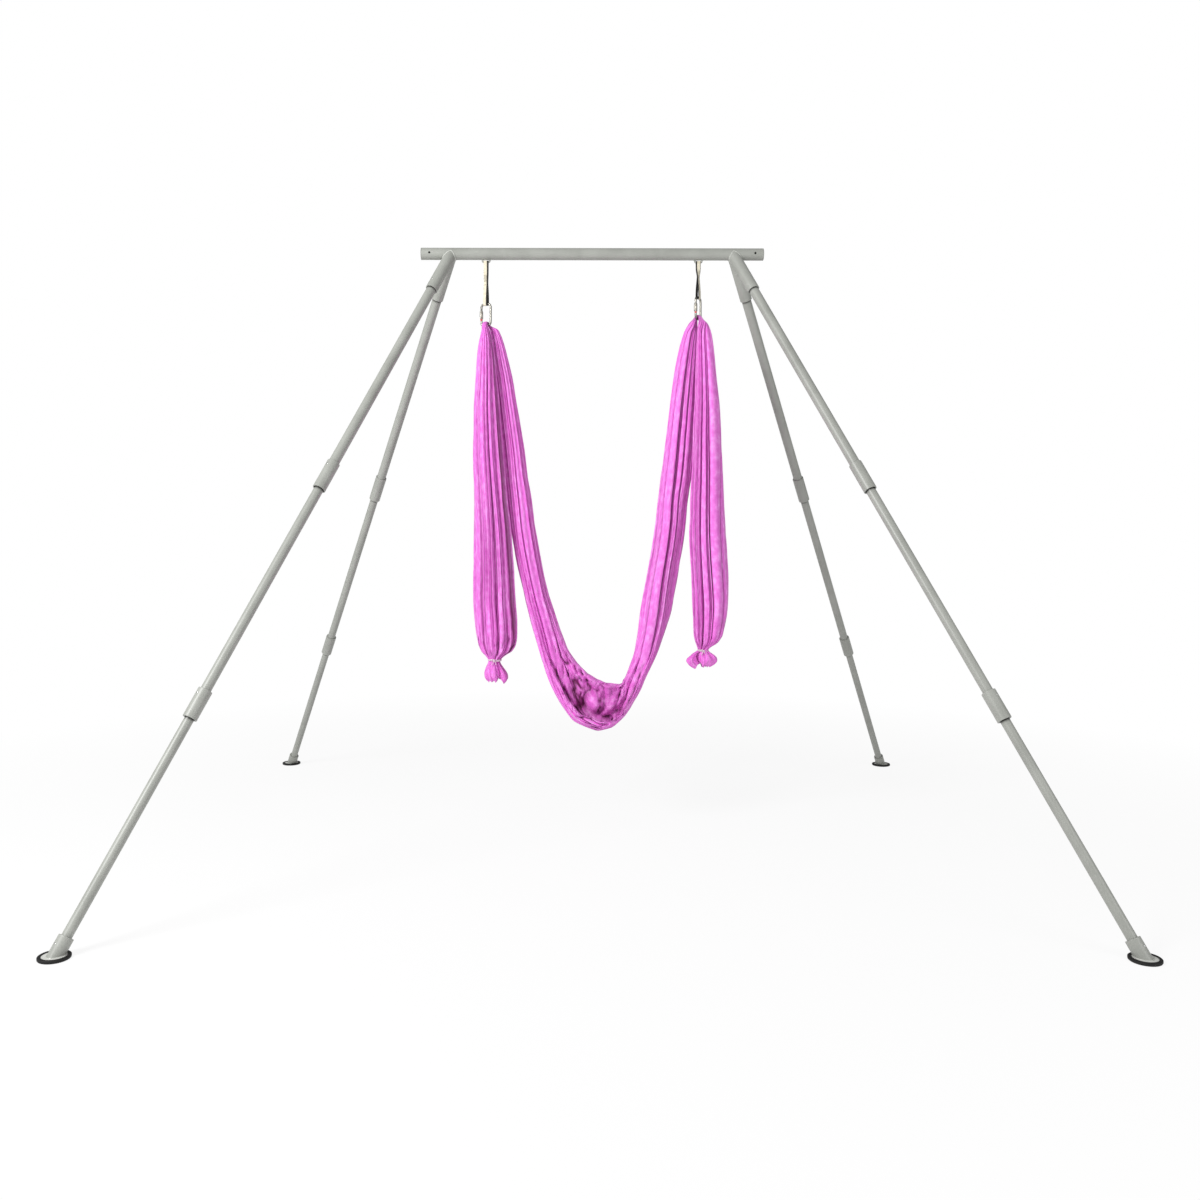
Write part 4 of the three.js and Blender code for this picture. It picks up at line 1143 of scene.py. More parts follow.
@dataclass
class Leg:
    """One leg: three tubes that plug together, two collars and four snap buttons."""

    side: Side
    row: Row
    upper_radius: float = 0.024
    middle_radius: float = 0.0216
    lower_radius: float = 0.0196
    wall: float = 0.0018
    collar_radius: float = 0.0295
    collar_lip: float = 0.020
    upper_collar: tuple[float, float] = (1.333, 0.146)
    lower_collar: tuple[float, float] = (2.481, 0.125)
    below_shoulder: float = 0.024
    insert: float = 0.060
    socket_top: float = 0.085
    foot_stop: float = 0.0264
    upper_seat: float = 0.002
    lower_seat: float = 0.0016
    stem: float = 0.0045
    stem_foot: float = 0.0023
    tip_stand: float = 0.001
    dome_rise: float = 0.0025
    leaf_span: tuple[float, float] = (-0.0095, 0.034)
    leaf_flat: float = 0.006
    leaf_gap: float = 0.0024
    leaf_bow: float = 0.0025
    leaf_thickness: float = 0.0009
    fit: float = 0.0003
    tube_soft: float = 0.0006
    collar_soft: float = 0.0011
    lip_shade: tuple = ((-0.014, 0.0), (-0.008, 0.35), (-0.005, 0.8),
                        (-0.002, 0.95), (0.001, 0.95), (0.006, 0.3))

    @property
    def prefix(self) -> str:
        """The leg's name as its nodes spell it."""
        return f"{self.row.word}_{self.side.word}"

    @property
    def axis(self) -> Frame:
        """The leg's frame."""
        return STANCE.leg(self.side, self.row)

    def height(self, station: float) -> float:
        """The height up the leg of a distance down from the beam's axis."""
        return STANCE.leg_length() - station

    def tube(self, part: str, radius: float, top: float, bottom: float, lip: float) -> None:
        """A plain tube between two distances down the leg, shaded below a lip's gap.

        Args:
            part: Which section.
            radius: Its outer radius.
            top: Where it starts.
            bottom: Where it ends.
            lip: Where the sleeve that it slides in ends.
        """
        low, high, inner = self.height(bottom), self.height(top), radius - self.wall
        profile = rounded([(radius, low), (radius, high), (inner, high), (inner, low)], self.tube_soft)
        # painted shade: the colour darkens on the tube just below the lip, as lip_shade gives
        off_lip, dark = np.array(self.lip_shade).T
        wall = joined(radius, self.height(lip) + off_lip)
        profile = np.insert(profile, CORNER_POINTS, wall, axis=0)
        shade = np.insert(np.zeros(len(profile) - len(dark)), CORNER_POINTS, dark)
        skin = self.axis.turned(profile)
        skin.fold = np.repeat(shade[:, None], skin.points.shape[1], axis=1)
        made = to_object(f"{self.prefix}_{part}_section", [skin])
        fitted(made, POWDER_COAT, "frame", f"{self.prefix}_leg_{part}_tube")

    def collar(self, part: str, inner: float, span: tuple[float, float]) -> None:
        """A collar with a soft shoulder, a thin lower lip and the button's well.

        Args:
            part: Which collar.
            inner: The radius of the tube that it is welded on.
            span: Its station and its length.
        """
        station, length = span
        top, bottom = self.height(station), self.height(station + length)
        outer, bore = self.collar_radius, inner + self.fit
        corners = [(outer, bottom), (outer, top), (bore, top), (bore, bottom)]
        skin = self.axis.turned(rounded(corners, self.collar_soft), 64)
        made = to_object(f"{self.prefix}_{part}_sleeve", [skin])
        button = self.axis.sideways(self.height(station + self.below_shoulder))
        bored(made, bar_tool("well_tool", button, STANCE.well, inner - TOOL_REACH, outer + TOOL_REACH))
        fitted(made, POWDER_COAT, "frame", f"{self.prefix}_leg_{part}_collar")

    def button(self, place: str, height: float, bore: float, outer: float) -> None:
        """A snap button: a domed stem on the front leaf of its spring.

        Args:
            place: Where it locks.
            height: Its height up the leg.
            bore: The radius inside the tube that holds it.
            outer: The radius outside the sleeve that it locks.
        """
        at = self.axis.sideways(height)
        radius, tip, low = self.stem, outer + self.tip_stand, bore - self.stem_foot
        turn = np.linspace(0.0, np.pi / 2, 8)
        dome = joined(radius * np.cos(turn) ** 0.8, tip - self.dome_rise + self.dome_rise * np.sin(turn))
        profile = np.concatenate([[(0.0, low), (radius, low), (radius, tip - 0.004)], dome])
        profile[-1, 0] = 0.0
        surfaces = [at.turned(profile, 28, closed=False), self.leaf(at, bore)]
        made = to_object(f"{self.prefix}_{place}_snap_button", surfaces)
        fitted(made, BRIGHT_ZINC, f"{self.prefix}_{place}_button", f"{self.prefix}_{place}_button")

    def leaf(self, at: Frame, bore: float) -> Surface:
        """The spring's leaf: a thin strip that bows away from the wall, closed all round."""
        along = np.linspace(*self.leaf_span, 16)[:, None]
        depth = bore - self.leaf_gap - self.leaf_bow * eased(along, self.leaf_flat, self.leaf_span[1])
        half, thin = self.stem, self.leaf_thickness
        corners = np.array([(-half, 0.0), (half, 0.0), (half, -thin), (-half, -thin)])
        grid = joined(along, corners[None, :, 0], depth + corners[None, :, 1])
        return Surface(at.place(grid), wrap_cols=True)

    def build(self) -> None:
        """Make every piece of the leg."""
        buttons = [collar[0] + self.below_shoulder for collar in (self.upper_collar, self.lower_collar)]
        lips = [sum(self.upper_collar), sum(self.lower_collar)]
        ends = [lip - self.collar_lip for lip in lips] + [STANCE.leg_length() - self.foot_stop]
        upper, middle, lower = self.upper_radius, self.middle_radius, self.lower_radius
        self.tube("upper", upper, self.socket_top, ends[0], STANCE.socket_lip)
        self.tube("middle", middle, buttons[0] - self.insert, ends[1], lips[0])
        self.tube("lower", lower, buttons[1] - self.insert, ends[2], lips[1])
        self.collar("upper", upper, self.upper_collar)
        self.collar("lower", middle, self.lower_collar)
        self.button("socket", self.height(STANCE.socket_button), upper - self.upper_seat,
                    STANCE.socket_radius)
        for place, height, tube, outer in (
            ("upper_collar", self.height(buttons[0]), middle, self.collar_radius),
            ("lower_collar", self.height(buttons[1]), lower, self.collar_radius),
            ("foot", STANCE.foot_button, lower, STANCE.foot_radius),
        ):
            self.button(place, height, tube - self.lower_seat, outer)


@dataclass
class Foot:
    """A sloping sleeve welded on a round plate, in a rubber cup."""

    side: Side
    row: Row
    bore: float = 0.0200
    reach: float = 0.078
    plate_radius: float = 0.0500
    plate_low: float = 0.0043
    plate_top: float = 0.0098
    cup_radius: float = 0.057
    cup_inner: float = 0.0503
    cup_top: float = 0.0121
    cup_lip: float = 0.0445
    cup_gap: float = 0.0003
    cup_floor: float = 0.004
    cup_soft: float = 0.0011
    sink: float = 0.001
    bore_floor: float = 0.002
    bead_rod: float = 0.0022
    bead_ripple: float = 0.0003
    plate_soft: float = 0.0009
    soft: float = 0.0014
    sides: int = 64

    @property
    def prefix(self) -> str:
        """The foot's name as its nodes spell it."""
        return f"{self.row.word}_{self.side.word}"

    def sleeve(self, leg: Frame) -> tuple[Surface, Array]:
        """The sleeve: lines down the leg at its radius, each ending on the plate's top.

        Args:
            leg: The leg's frame.

        Returns:
            The surface, and the line where it meets the plate.
        """
        ring, radius = leg.spokes(self.sides), STANCE.foot_radius
        low = (self.plate_top - self.sink - radius * ring[:, 2]) / leg.up[2]
        inner = (self.plate_top + self.bore_floor - self.bore * ring[:, 2]) / leg.up[2]
        rows = [(radius, low), (radius, 0.5 * (low + self.reach)),
                *lip_rows(radius, self.bore, self.reach, self.soft, self.sides), (self.bore, inner)]
        grid = np.stack([r * ring + h[:, None] * leg.up for r, h in rows])
        seam = leg.origin + radius * ring + (low + self.sink / leg.up[2])[:, None] * leg.up
        return Surface(leg.origin + grid, wrap_rows=True, wrap_cols=True), seam

    def build(self) -> None:
        """Make the sleeve, its plate and bead, and the rubber cup."""
        leg = STANCE.leg(self.side, self.row)
        stand = Frame(leg.origin, UPRIGHT.out, UPRIGHT.across, UPRIGHT.up)
        skin, seam = self.sleeve(leg)
        sleeve = to_object(f"{self.prefix}_foot_sleeve", [skin])
        button = leg.sideways(STANCE.foot_button)
        bored(sleeve, bar_tool("well_tool", button, STANCE.well, self.bore - TOOL_REACH,
                               STANCE.foot_radius + TOOL_REACH))
        corners = [(0.0, self.plate_low), (self.plate_radius, self.plate_low),
                   (self.plate_radius, self.plate_top), (0.0, self.plate_top)]
        plate = rounded(corners, self.plate_soft, closed=False)
        disc = to_object(f"{self.prefix}_foot_disc", [stand.turned(plate, 72, closed=False)])
        at = circle(self.sides)
        ripple = self.bead_rod + self.bead_ripple * np.sin(21 * at)
        weld = swept(seam, ripple, 10, closed=True, upright=UPRIGHT.up)
        bead = to_object(f"{self.prefix}_foot_weld", [weld])
        for piece, finish in ((sleeve, POWDER_COAT), (disc, PAINTED_LIGHT_COAT), (bead, PAINTED_LIGHT_WELD_COAT)):
            fitted(piece, finish, "frame", f"{self.prefix}_foot_socket")
        self.build_cup(stand)

    def build_cup(self, stand: Frame) -> None:
        """The cup: a soft-edged ring whose lip holds the plate down.

        Args:
            stand: The foot's upright frame.
        """
        outer, inner, lip, top = self.cup_radius, self.cup_inner, self.cup_lip, self.cup_top
        under, floor = self.plate_top + self.cup_gap, self.cup_floor
        corners = [(0.0, 0.0), (outer - 0.002, 0.0), (outer, 0.003), (outer, top - 0.002),
                   (outer - 0.003, top), (lip, top), (lip, under), (inner, under), (inner, floor),
                   (0.0, floor)]
        profile = rounded(corners, self.cup_soft, closed=False)
        cup = to_object(f"{self.prefix}_rubber_cup", [stand.turned(profile, 72, closed=False)])
        fitted(cup, RUBBER, "frame", f"{self.prefix}_foot_cup")


@dataclass(frozen=True)
class Hanger:
    """One hanging point: where its eye, carabiner and bow are."""

    side: Side
    drop: float
    yaw: float
    bow_drop: float = 0.109

    @property
    def eye(self) -> Array:
        """The middle of the eye's bar."""
        return np.array([self.side.value * STANCE.eye_x, 0.0, STANCE.eye_bar])

    @property
    def word(self) -> str:
        """The side's name as the nodes spell it."""
        return self.side.word

    @property
    def crown(self) -> Frame:
        """The frame of the carabiner: at the middle of its top bow, out along the bow and
        across through the carabiner to the back."""
        along = np.array([math.cos(self.yaw), math.sin(self.yaw), 0.0])
        return Frame(self.eye - self.drop * UPRIGHT.up, along, np.cross(UPRIGHT.up, along), UPRIGHT.up)

    @property
    def bow(self) -> Array:
        """The middle of the carabiner's bottom bow, which carries the cloth."""
        return self.crown.origin - self.bow_drop * UPRIGHT.up


HANGERS = (
    Hanger(Side.LEFT, drop=0.212, yaw=math.radians(-28.0)),
    Hanger(Side.RIGHT, drop=0.177, yaw=math.radians(57.0)),
)


@dataclass
class WebbingLoop:
    """A sewn loop of webbing, from the beam's eye down to the carabiner."""

    hanger: Hanger
    width: float = 0.025
    ply: float = 0.002
    eye_radius: float = 0.0056
    rod_radius: float = 0.0071
    eye_neck: float = 0.018
    open_reach: float = 0.100
    loop_length: float = 0.47
    tack_half: float = 0.0105
    tack_rod: float = 0.00055
    stitch: float = 0.0026
    stitch_rise: float = 0.0003

    def outline(self, count: int = 220) -> tuple[Array, Array]:
        """The loop's middle line in the plane through the carabiner: half a circle round
        the eye, two plies side by side down to the neck, then a drop shape round the rod.

        Args:
            count: How many points the line gets.

        Returns:
            The line as distance through and height, and its outward direction.
        """
        drop, half = self.hanger.drop, self.ply / 2
        eye, rod_reach = self.eye_radius + half, self.rod_radius + half
        turn = np.linspace(0.0, np.pi, 15)
        over = joined(eye * np.cos(turn), eye * np.sin(turn))
        under = joined(-rod_reach * np.cos(turn), -drop - rod_reach * np.sin(turn))
        share = np.linspace(0.0, 1.0, 14)[1:-1]
        apart = half * 1.1
        neck = np.array([[apart, -self.eye_neck], [apart, self.open_reach - drop]])
        bulge = np.sin(np.pi * share) * 0.0015
        width = apart + (rod_reach - apart) * eased(share, -0.15, 1.15) + bulge
        height = neck[1, 1] + (-drop - neck[1, 1]) * share
        right_drop = joined(width, height)
        left_drop = right_drop * np.array([-1.0, 1.0])
        left_neck = neck * np.array([-1.0, 1.0])
        corners = np.concatenate([over, left_neck, left_drop, under, right_drop[::-1], neck[::-1]])
        _, line = evenly(np.concatenate([corners, corners[:1]]), count)
        along = unit(np.roll(line, -1, axis=0) - np.roll(line, 1, axis=0))
        return line, joined(along[:, 1], -along[:, 0])

    def build(self) -> None:
        """Make the loop and its bar tacks."""
        line, outward = self.outline()
        half, thick, edge = self.width / 2, self.ply / 2, 0.35
        section = [(-half, edge), (-half * 0.94, 1.0), (0.0, 1.06), (half * 0.94, 1.0), (half, edge),
                   (half, -edge), (half * 0.94, -1.0), (0.0, -1.0), (-half * 0.94, -1.0), (-half, -edge)]
        wide, stands = np.array(section).T
        across = wide[None, :] + 0 * line[:, :1]
        through = line[:, 0:1] + outward[:, 0:1] * stands[None, :] * thick
        height = line[:, 1:2] + outward[:, 1:2] * stands[None, :] * thick
        turn = self.hanger.yaw * eased(-height, self.eye_neck, self.hanger.drop - self.open_reach)
        x = across * np.cos(turn) - through * np.sin(turn)
        y = across * np.sin(turn) + through * np.cos(turn)
        grid = self.hanger.eye + joined(x, y, height)
        reach = np.linspace(0.0, self.loop_length, len(line) + 1)
        round_ply = np.array([0.0, 0.05, 0.22, 0.4, 0.46, 0.5, 0.55, 0.75, 0.95, 0.98, 1.0])
        uv = np.stack(np.meshgrid(reach, round_ply, indexing="ij")[::-1], axis=2)
        loop = to_object(f"{self.hanger.word}_webbing_loop",
                         [Surface(grid, wrap_rows=True, wrap_cols=True, uv=uv)], 50.0)
        # each strap has its own widths of dark band
        bands = (0.0, 0.20) if self.hanger.side is Side.LEFT else (0.13, 0.10)
        fitted(loop, Webbing(left_dark_band=bands[0], right_dark_band=bands[1]), "hammock",
               f"{self.hanger.word}_strap")
        self.build_tacks()

    def build_tacks(self) -> None:
        """Bar tacks: rows of stitches across both plies, each a low arched thread."""
        surfaces = []
        drop = self.hanger.drop
        heights = np.concatenate([np.linspace(-0.066, -0.098, 9), [self.open_reach - drop - 0.002]])
        heights = heights[heights > self.open_reach - drop - 0.003]
        for facing in (-1.0, 1.0):
            for height in heights:
                span = np.linspace(-self.tack_half, self.tack_half, 29)
                arch = np.abs(np.sin(span * np.pi / self.stitch))
                lift = self.ply * 1.08 + self.stitch_rise * arch
                turn = self.hanger.yaw * eased(-height, self.eye_neck, drop - self.open_reach)
                x = span * math.cos(turn) - facing * lift * math.sin(turn)
                y = span * math.sin(turn) + facing * lift * math.cos(turn)
                path = self.hanger.eye + joined(x, y, height)
                line, radius = capped(path, self.tack_rod, 3)
                surfaces.append(swept(line, radius, 6, upright=UPRIGHT.up))
        tacks = to_object(f"{self.hanger.word}_bar_tacks", surfaces)
        fitted(tacks, TACK_THREAD, "hammock")


@dataclass
class ScrewCarabiner:
    """A steel carabiner with a hinged gate and a knurled screw sleeve."""

    hanger: Hanger
    rod_radius: float = 0.0055
    half_width: float = 0.0275
    bend: float = 0.018
    shoulder: float = 0.024
    gate_length: float = 0.059
    pin_drop: float = 0.006
    pin_radius: float = 0.0015
    nose_gap: float = 0.0003
    tang_half: float = 0.0042
    tang_thick: float = 0.002
    gate_dome: float = 0.0052
    slot_half: float = 0.0023
    slot_reach: float = 0.009
    band_width: float = 0.0085
    band_gap: float = 0.0008
    band_stand: float = 0.0002
    band_sink: float = 0.0004
    sleeve_radius: float = 0.0085
    sleeve_length: float = 0.038
    sleeve_gap: float = 0.011
    sleeve_fit: float = 0.0004
    sleeve_soft: float = 0.0005
    neck_depth: float = 0.0009

    def at(self, x: float, z: float) -> Frame:
        """The carabiner's frame, moved along its bow and up."""
        crown = self.hanger.crown
        return replace(crown, origin=crown.place(np.array([x, 0.0, z])))

    def build(self) -> None:
        """Make the body, the gate and the sleeve."""
        self.build_body()
        self.build_gate()
        self.build_sleeve()

    def build_body(self) -> None:
        """The bent rod: straight stretches and quarter circles from hinge round to nose."""
        side, bend, inner = self.half_width, self.bend, self.half_width - self.bend
        low = -self.hanger.bow_drop
        nose = -self.shoulder - self.gate_length - self.nose_gap
        quarter = np.linspace(0.0, np.pi / 2, 10)
        c, s = bend * np.cos(quarter), bend * np.sin(quarter)
        parts = [
            np.array([[-side, -self.shoulder]]),
            joined(-inner - c, -bend + s),
            joined(inner + s, -bend + c),
            np.array([[side, 0.4 * (low + bend) - 0.6 * bend], [side, 0.6 * (low + bend) - 0.4 * bend]]),
            joined(inner + c, low + bend - s),
            joined(-inner - s, low + bend - c),
            np.array([[-side, nose]]),
        ]
        line = np.concatenate(parts)
        crown = self.hanger.crown
        path = crown.place(joined(line[:, 0], 0.0, line[:, 1]))
        body = swept(path, self.rod_radius, 28, upright=crown.across)
        caps = [self.blunt(-side, -self.shoulder, -1), self.blunt(-side, nose, 1)]
        tangs = [self.tang(-self.shoulder + 0.002, -self.shoulder - self.pin_drop),
                 self.tang(nose - 0.002, nose + 0.0032), self.pin()]
        made = to_object(f"{self.hanger.word}_carabiner_rod", [body, *caps, *tangs])
        fitted(made, PolishedSteel(), "hammock", f"{self.hanger.word}_carabiner_body")

    def blunt(self, x: float, z: float, facing: int) -> Surface:
        """A rod's softly rounded flat end, which faces down where facing is -1."""
        at, r = self.at(x, z), self.rod_radius
        at = Frame(at.origin, at.out, at.across * facing, at.up * facing)
        profile = np.array([(r, 0.0), (r, 0.0001), (r - 0.0003, 0.0002), (0.0, 0.0002)])
        return at.turned(profile, 28, closed=False)

    def tang(self, start: float, end: float) -> Surface:
        """A flat tongue with a half-round end."""
        half, thick = self.tang_half, self.tang_thick
        facing = 1.0 if end > start else -1.0
        turn = np.linspace(0.0, np.pi, 13)
        x = np.concatenate([[half], half * np.cos(turn), [-half]])
        z = np.concatenate([[start], end + facing * half * np.sin(turn), [start]])
        outline = joined(x, z)
        middle = outline.mean(axis=0)
        rows = [(middle + 0 * outline, thick), (outline, thick), (outline, -thick),
                (middle + 0 * outline, -thick)]
        grid = np.stack([joined(o[:, 0] - self.half_width, y, o[:, 1]) for o, y in rows])
        return Surface(self.hanger.crown.place(grid), wrap_cols=True, flip=facing > 0)

    def pin(self) -> Surface:
        """The hinge pin with its two domed heads."""
        at = self.at(-self.half_width, -self.shoulder - self.pin_drop)
        at = Frame(at.origin, at.out, -at.up, at.across)
        r, reach = self.pin_radius, self.rod_radius - 0.0001
        profile = np.array([(0.0, -reach - 0.0004), (r, -reach), (r, reach), (0.0, reach + 0.0004)])
        return at.turned(profile, 16, closed=False)

    def build_gate(self) -> None:
        """The gate: a rod from a rounded fork at the hinge to one at the nose."""
        top = -self.shoulder - self.pin_drop
        low = -self.shoulder - self.gate_length
        at = self.at(-self.half_width, 0.0)
        r = self.rod_radius
        turn = np.linspace(0.0, np.pi / 2, 8)
        dome = joined(r * np.cos(turn), top + self.gate_dome * np.sin(turn))
        end = [(0.0, low), (r - 0.0006, low), (r, low + 0.0006), (r, low + 0.002)]
        profile = np.concatenate([end, dome])
        profile[-1, 0] = 0.0
        gate = to_object(f"{self.hanger.word}_gate_rod", [at.turned(profile, 28, closed=False)])
        bored(gate, self.slot_tool(top - 0.0095, top + 0.008), self.slot_tool(low - 0.002, low + 0.0105))
        fitted(gate, PolishedSteel(), f"{self.hanger.word}_gate",
               f"{self.hanger.word}_carabiner_gate")
        high = -self.shoulder - self.sleeve_gap - self.sleeve_length - self.band_gap
        foot, inner, outer = high - self.band_width, r - self.band_sink, r + self.band_stand
        ring = rounded([(inner, foot), (outer, foot), (outer, high), (inner, high)], self.band_stand)
        band = to_object(f"{self.hanger.word}_unlocked_band", [at.turned(ring, 32)])
        fitted(band, RED_LACQUER, f"{self.hanger.word}_gate")

    def slot_tool(self, low: float, high: float) -> bpy.types.Object:
        """The tool that cuts a fork's slot."""
        half, wide = self.slot_half, self.slot_reach
        ring = np.array([(-wide, -half), (wide, -half), (wide, half), (-wide, half)])
        rows = [(0.0 * ring, low), (ring, low), (ring, high), (0.0 * ring, high)]
        grid = [joined(o[:, 0] - self.half_width, o[:, 1], z) for o, z in rows]
        return to_object("slot_tool", [Surface(self.hanger.crown.place(np.stack(grid)), wrap_cols=True)])

    def build_sleeve(self) -> None:
        """The screw sleeve: a knurled barrel between two plain collars."""
        top = -self.shoulder - self.sleeve_gap
        low = top - self.sleeve_length
        at = self.at(-self.half_width, 0.0)
        r, bore = self.sleeve_radius, self.rod_radius + self.sleeve_fit
        neck = r - self.neck_depth
        corners = [(neck, low), (r, low + 0.002), (r, low + 0.005), (neck, low + 0.006),
                   (neck, low + 0.007), (r, low + 0.008), (r, top - 0.008), (neck, top - 0.007),
                   (neck, top - 0.006), (r, top - 0.005), (r, top - 0.002), (neck, top),
                   (bore, top), (bore, low)]
        profile = rounded(corners, self.sleeve_soft)
        sleeve = to_object(f"{self.hanger.word}_screw_barrel", [at.turned(profile, 48)])
        fitted(sleeve, KnurledSleeve(), f"{self.hanger.word}_sleeve",
               f"{self.hanger.word}_carabiner_sleeve")


@dataclass
class SilkRun:
    """Rows of the cloth's section: its middle, its two directions and its shape."""

    centre: list = field(default_factory=list)
    across: list = field(default_factory=list)
    inward: list = field(default_factory=list)
    shape: list = field(default_factory=list)

    def add(self, centre: Array, across: Array, inward: Array, shape: tuple[float, ...]) -> None:
        """Add one row; its shape holds half width, half depth, fold depth, and how far it is
        crumpled, spread as a tassel and opened as the seat's dish, each from 0 to 1."""
        self.centre.append(centre)
        self.across.append(across)
        self.inward.append(inward)
        self.shape.append(shape)


@dataclass
class SilkHammock:
    """The hammock in one length of cloth: tail, loop and tail, folded along its length.

    Each section is a ring of panels: the cloth runs round the outside for a panel, dives
    inwards and comes back, and so on round. Along the length the ring is carried from the
    left tassel up the tail, over the carabiner's bow, round the seat, and down again.

    A row of a tail's table is a pixel row of the photograph, the tail's left and right edge
    there and the share of the full depth. A row of the loop's table is its outer edge, its
    inner edge, the share of the depth and how far the section opens as the seat's dish. The
    seen tables say, for each side, how wide, how far back and how soft each panel is that
    its tail and its arm show; the hidden widths belong to the ten panels at the back.
    """

    pleats: int = 18
    rows: int = 454
    cut_width: float = 2.2
    tail_depth: float = 0.062
    loop_depth: float = 0.056
    parting: float = 0.030
    bow_reach: float = 0.0150
    bow_shape: tuple = (0.0165, 0.0078, 0.0050, 0.0, 0.0, 0.0)
    bow_blend: float = 0.07
    first_turn: float = 4.0
    whole_turn: float = 352.0
    tie_rows: tuple[float, float] = (660.0, 650.0)

    left_tail: tuple = (
        (330, 481, 489.8, 0.3), (340, 478.5, 492.2, 0.42), (348, 477, 493.4, 0.5),
        (364, 475.7, 495.3, 0.6), (380, 474.7, 497, 0.7), (404, 473, 499.3, 0.8), (430, 473, 501.8, 0.85),
        (460, 473, 504.5, 0.9), (500, 474.5, 508, 0.95), (528, 474.5, 511, 1), (556, 474.3, 513, 1),
        (580, 474, 515, 1), (604, 474, 516.3, 1), (620, 475.3, 518, 1), (636, 476.8, 519, 0.97),
        (646, 479, 517, 0.86), (652, 482, 513, 0.7), (656, 486, 505.5, 0.5), (660, 489, 501, 0.4),
        (663, 488.5, 501, 0.42), (667, 487.3, 504, 0.5), (672, 486.3, 507, 0.56), (677, 487, 507.6, 0.52),
        (681, 491, 504, 0.36),
    )
    right_tail: tuple = (
        (322, 697, 707.5, 0.3), (331, 696.5, 710.5, 0.42), (340, 696, 712.3, 0.5),
        (356, 695.3, 714.3, 0.6), (380, 695, 716.5, 0.7), (404, 694, 719, 0.8), (436, 692.5, 720.5, 0.85),
        (470, 691.5, 722.5, 0.9), (505, 690, 724, 0.95), (532, 689, 726, 1), (556, 690, 727, 1),
        (580, 691, 728.6, 1), (596, 692, 729, 1), (612, 692.7, 728, 0.97), (628, 693.5, 724.5, 0.9),
        (636, 694, 722.5, 0.82), (643, 696, 717.5, 0.66), (647, 697.5, 710.5, 0.48),
        (650, 698.5, 707.5, 0.4), (652.5, 694, 711, 0.46), (655.5, 689.5, 715, 0.56),
        (659, 688, 716, 0.58), (662.5, 690.5, 713, 0.5), (665.5, 696, 708, 0.34),
    )
    loop: tuple = (
        (490, 331, 498.3, 329, 0.34, 0), (489.8, 340, 501.9, 337.5, 0.42, 0),
        (490, 351, 505.3, 348, 0.52, 0), (491.5, 366, 509.2, 363, 0.62, 0),
        (494, 382, 513.2, 379, 0.72, 0), (497, 406, 517, 403, 0.82, 0), (499.5, 430, 521, 427, 0.88, 0),
        (502, 455, 525, 451, 0.93, 0), (504.5, 479, 528, 475, 0.96, 0), (507.5, 504, 532, 499, 1, 0),
        (510.5, 528, 535, 523, 1, 0), (514, 552, 539, 546, 1, 0), (519.5, 577, 543.5, 570, 1, 0.03),
        (525, 601, 548.5, 594, 1, 0.06), (531, 625, 557, 618, 1.02, 0.12),
        (541, 660, 568, 650, 1.15, 0.3), (549, 681.5, 578, 664, 1.4, 0.52),
        (559, 701.5, 588, 673.5, 1.7, 0.72), (573, 720.5, 597, 679.5, 1.95, 0.9),
        (598, 731, 606, 682.8, 2.05, 1), (613, 727, 614, 684, 1.95, 0.95),
        (624, 717, 620.5, 684.5, 1.8, 0.82), (634, 701, 623.2, 683.5, 1.5, 0.6),
        (645, 680, 625.5, 678.5, 1.25, 0.36), (658, 653, 633.5, 657, 1.05, 0.16),
        (666, 629, 638.5, 631, 1, 0.08), (671.5, 612, 641, 609, 1, 0.04), (674.5, 596, 643.5, 592, 1, 0),
        (678.5, 572, 647.5, 569, 1, 0), (682.5, 548, 651.5, 546, 1, 0), (686, 524, 655, 522, 1, 0),
        (688, 500, 657.5, 498, 1, 0), (692.5, 476, 660.5, 474, 0.96, 0), (694.5, 452, 664, 450, 0.92, 0),
        (696, 428, 667, 426, 0.86, 0), (696.8, 404, 669.5, 402, 0.8, 0), (697.5, 380, 672.6, 378, 0.7, 0),
        (698, 364, 675.4, 362, 0.6, 0), (698.3, 348, 679, 346, 0.5, 0), (698.5, 335, 682.8, 333, 0.42, 0),
        (698, 324, 687.5, 322, 0.34, 0),
    )
    hidden: tuple = (0.030, 0.074, 0.042, 0.062, 0.026, 0.082, 0.038, 0.064, 0.030, 0.052)
    seen_widths: tuple = (
        ((0.122, 0.056, 0.047, 0.040, 0.024, 0.042, 0.062, 0.107),
         (0.100, 0.034, 0.096, 0.016, 0.056, 0.030, 0.078, 0.090)),
        ((0.100, 0.144, 0.028, 0.062, 0.018, 0.034, 0.050, 0.064),
         (0.150, 0.112, 0.018, 0.044, 0.014, 0.040, 0.046, 0.076)),
    )
    seen_recess: tuple = (
        ((0.002, 0.0, 0.006, 0.0, 0.010, 0.002, 0.012, 0.014),
         (0.002, 0.010, 0.0, 0.012, 0.0, 0.006, 0.0, 0.006)),
        ((0.0, 0.0, 0.006, 0.0, 0.010, 0.002, 0.008, 0.006),
         (0.0, 0.0, 0.010, 0.0, 0.010, 0.002, 0.008, 0.006)),
    )
    seen_softness: tuple = (
        ((1.1, 0.7, 0.0, 0.75, 0.5, 0.1, 0.8, 0.5), (0.9, 0.3, 1.0, 0.0, 0.9, 0.4, 1.0, 0.3)),
        ((1.1, 0.0, 0.8, 0.3, 0.9, 0.5, 0.9, 0.2), (1.1, 0.0, 0.8, 0.2, 0.9, 0.3, 0.9, 0.1)),
    )

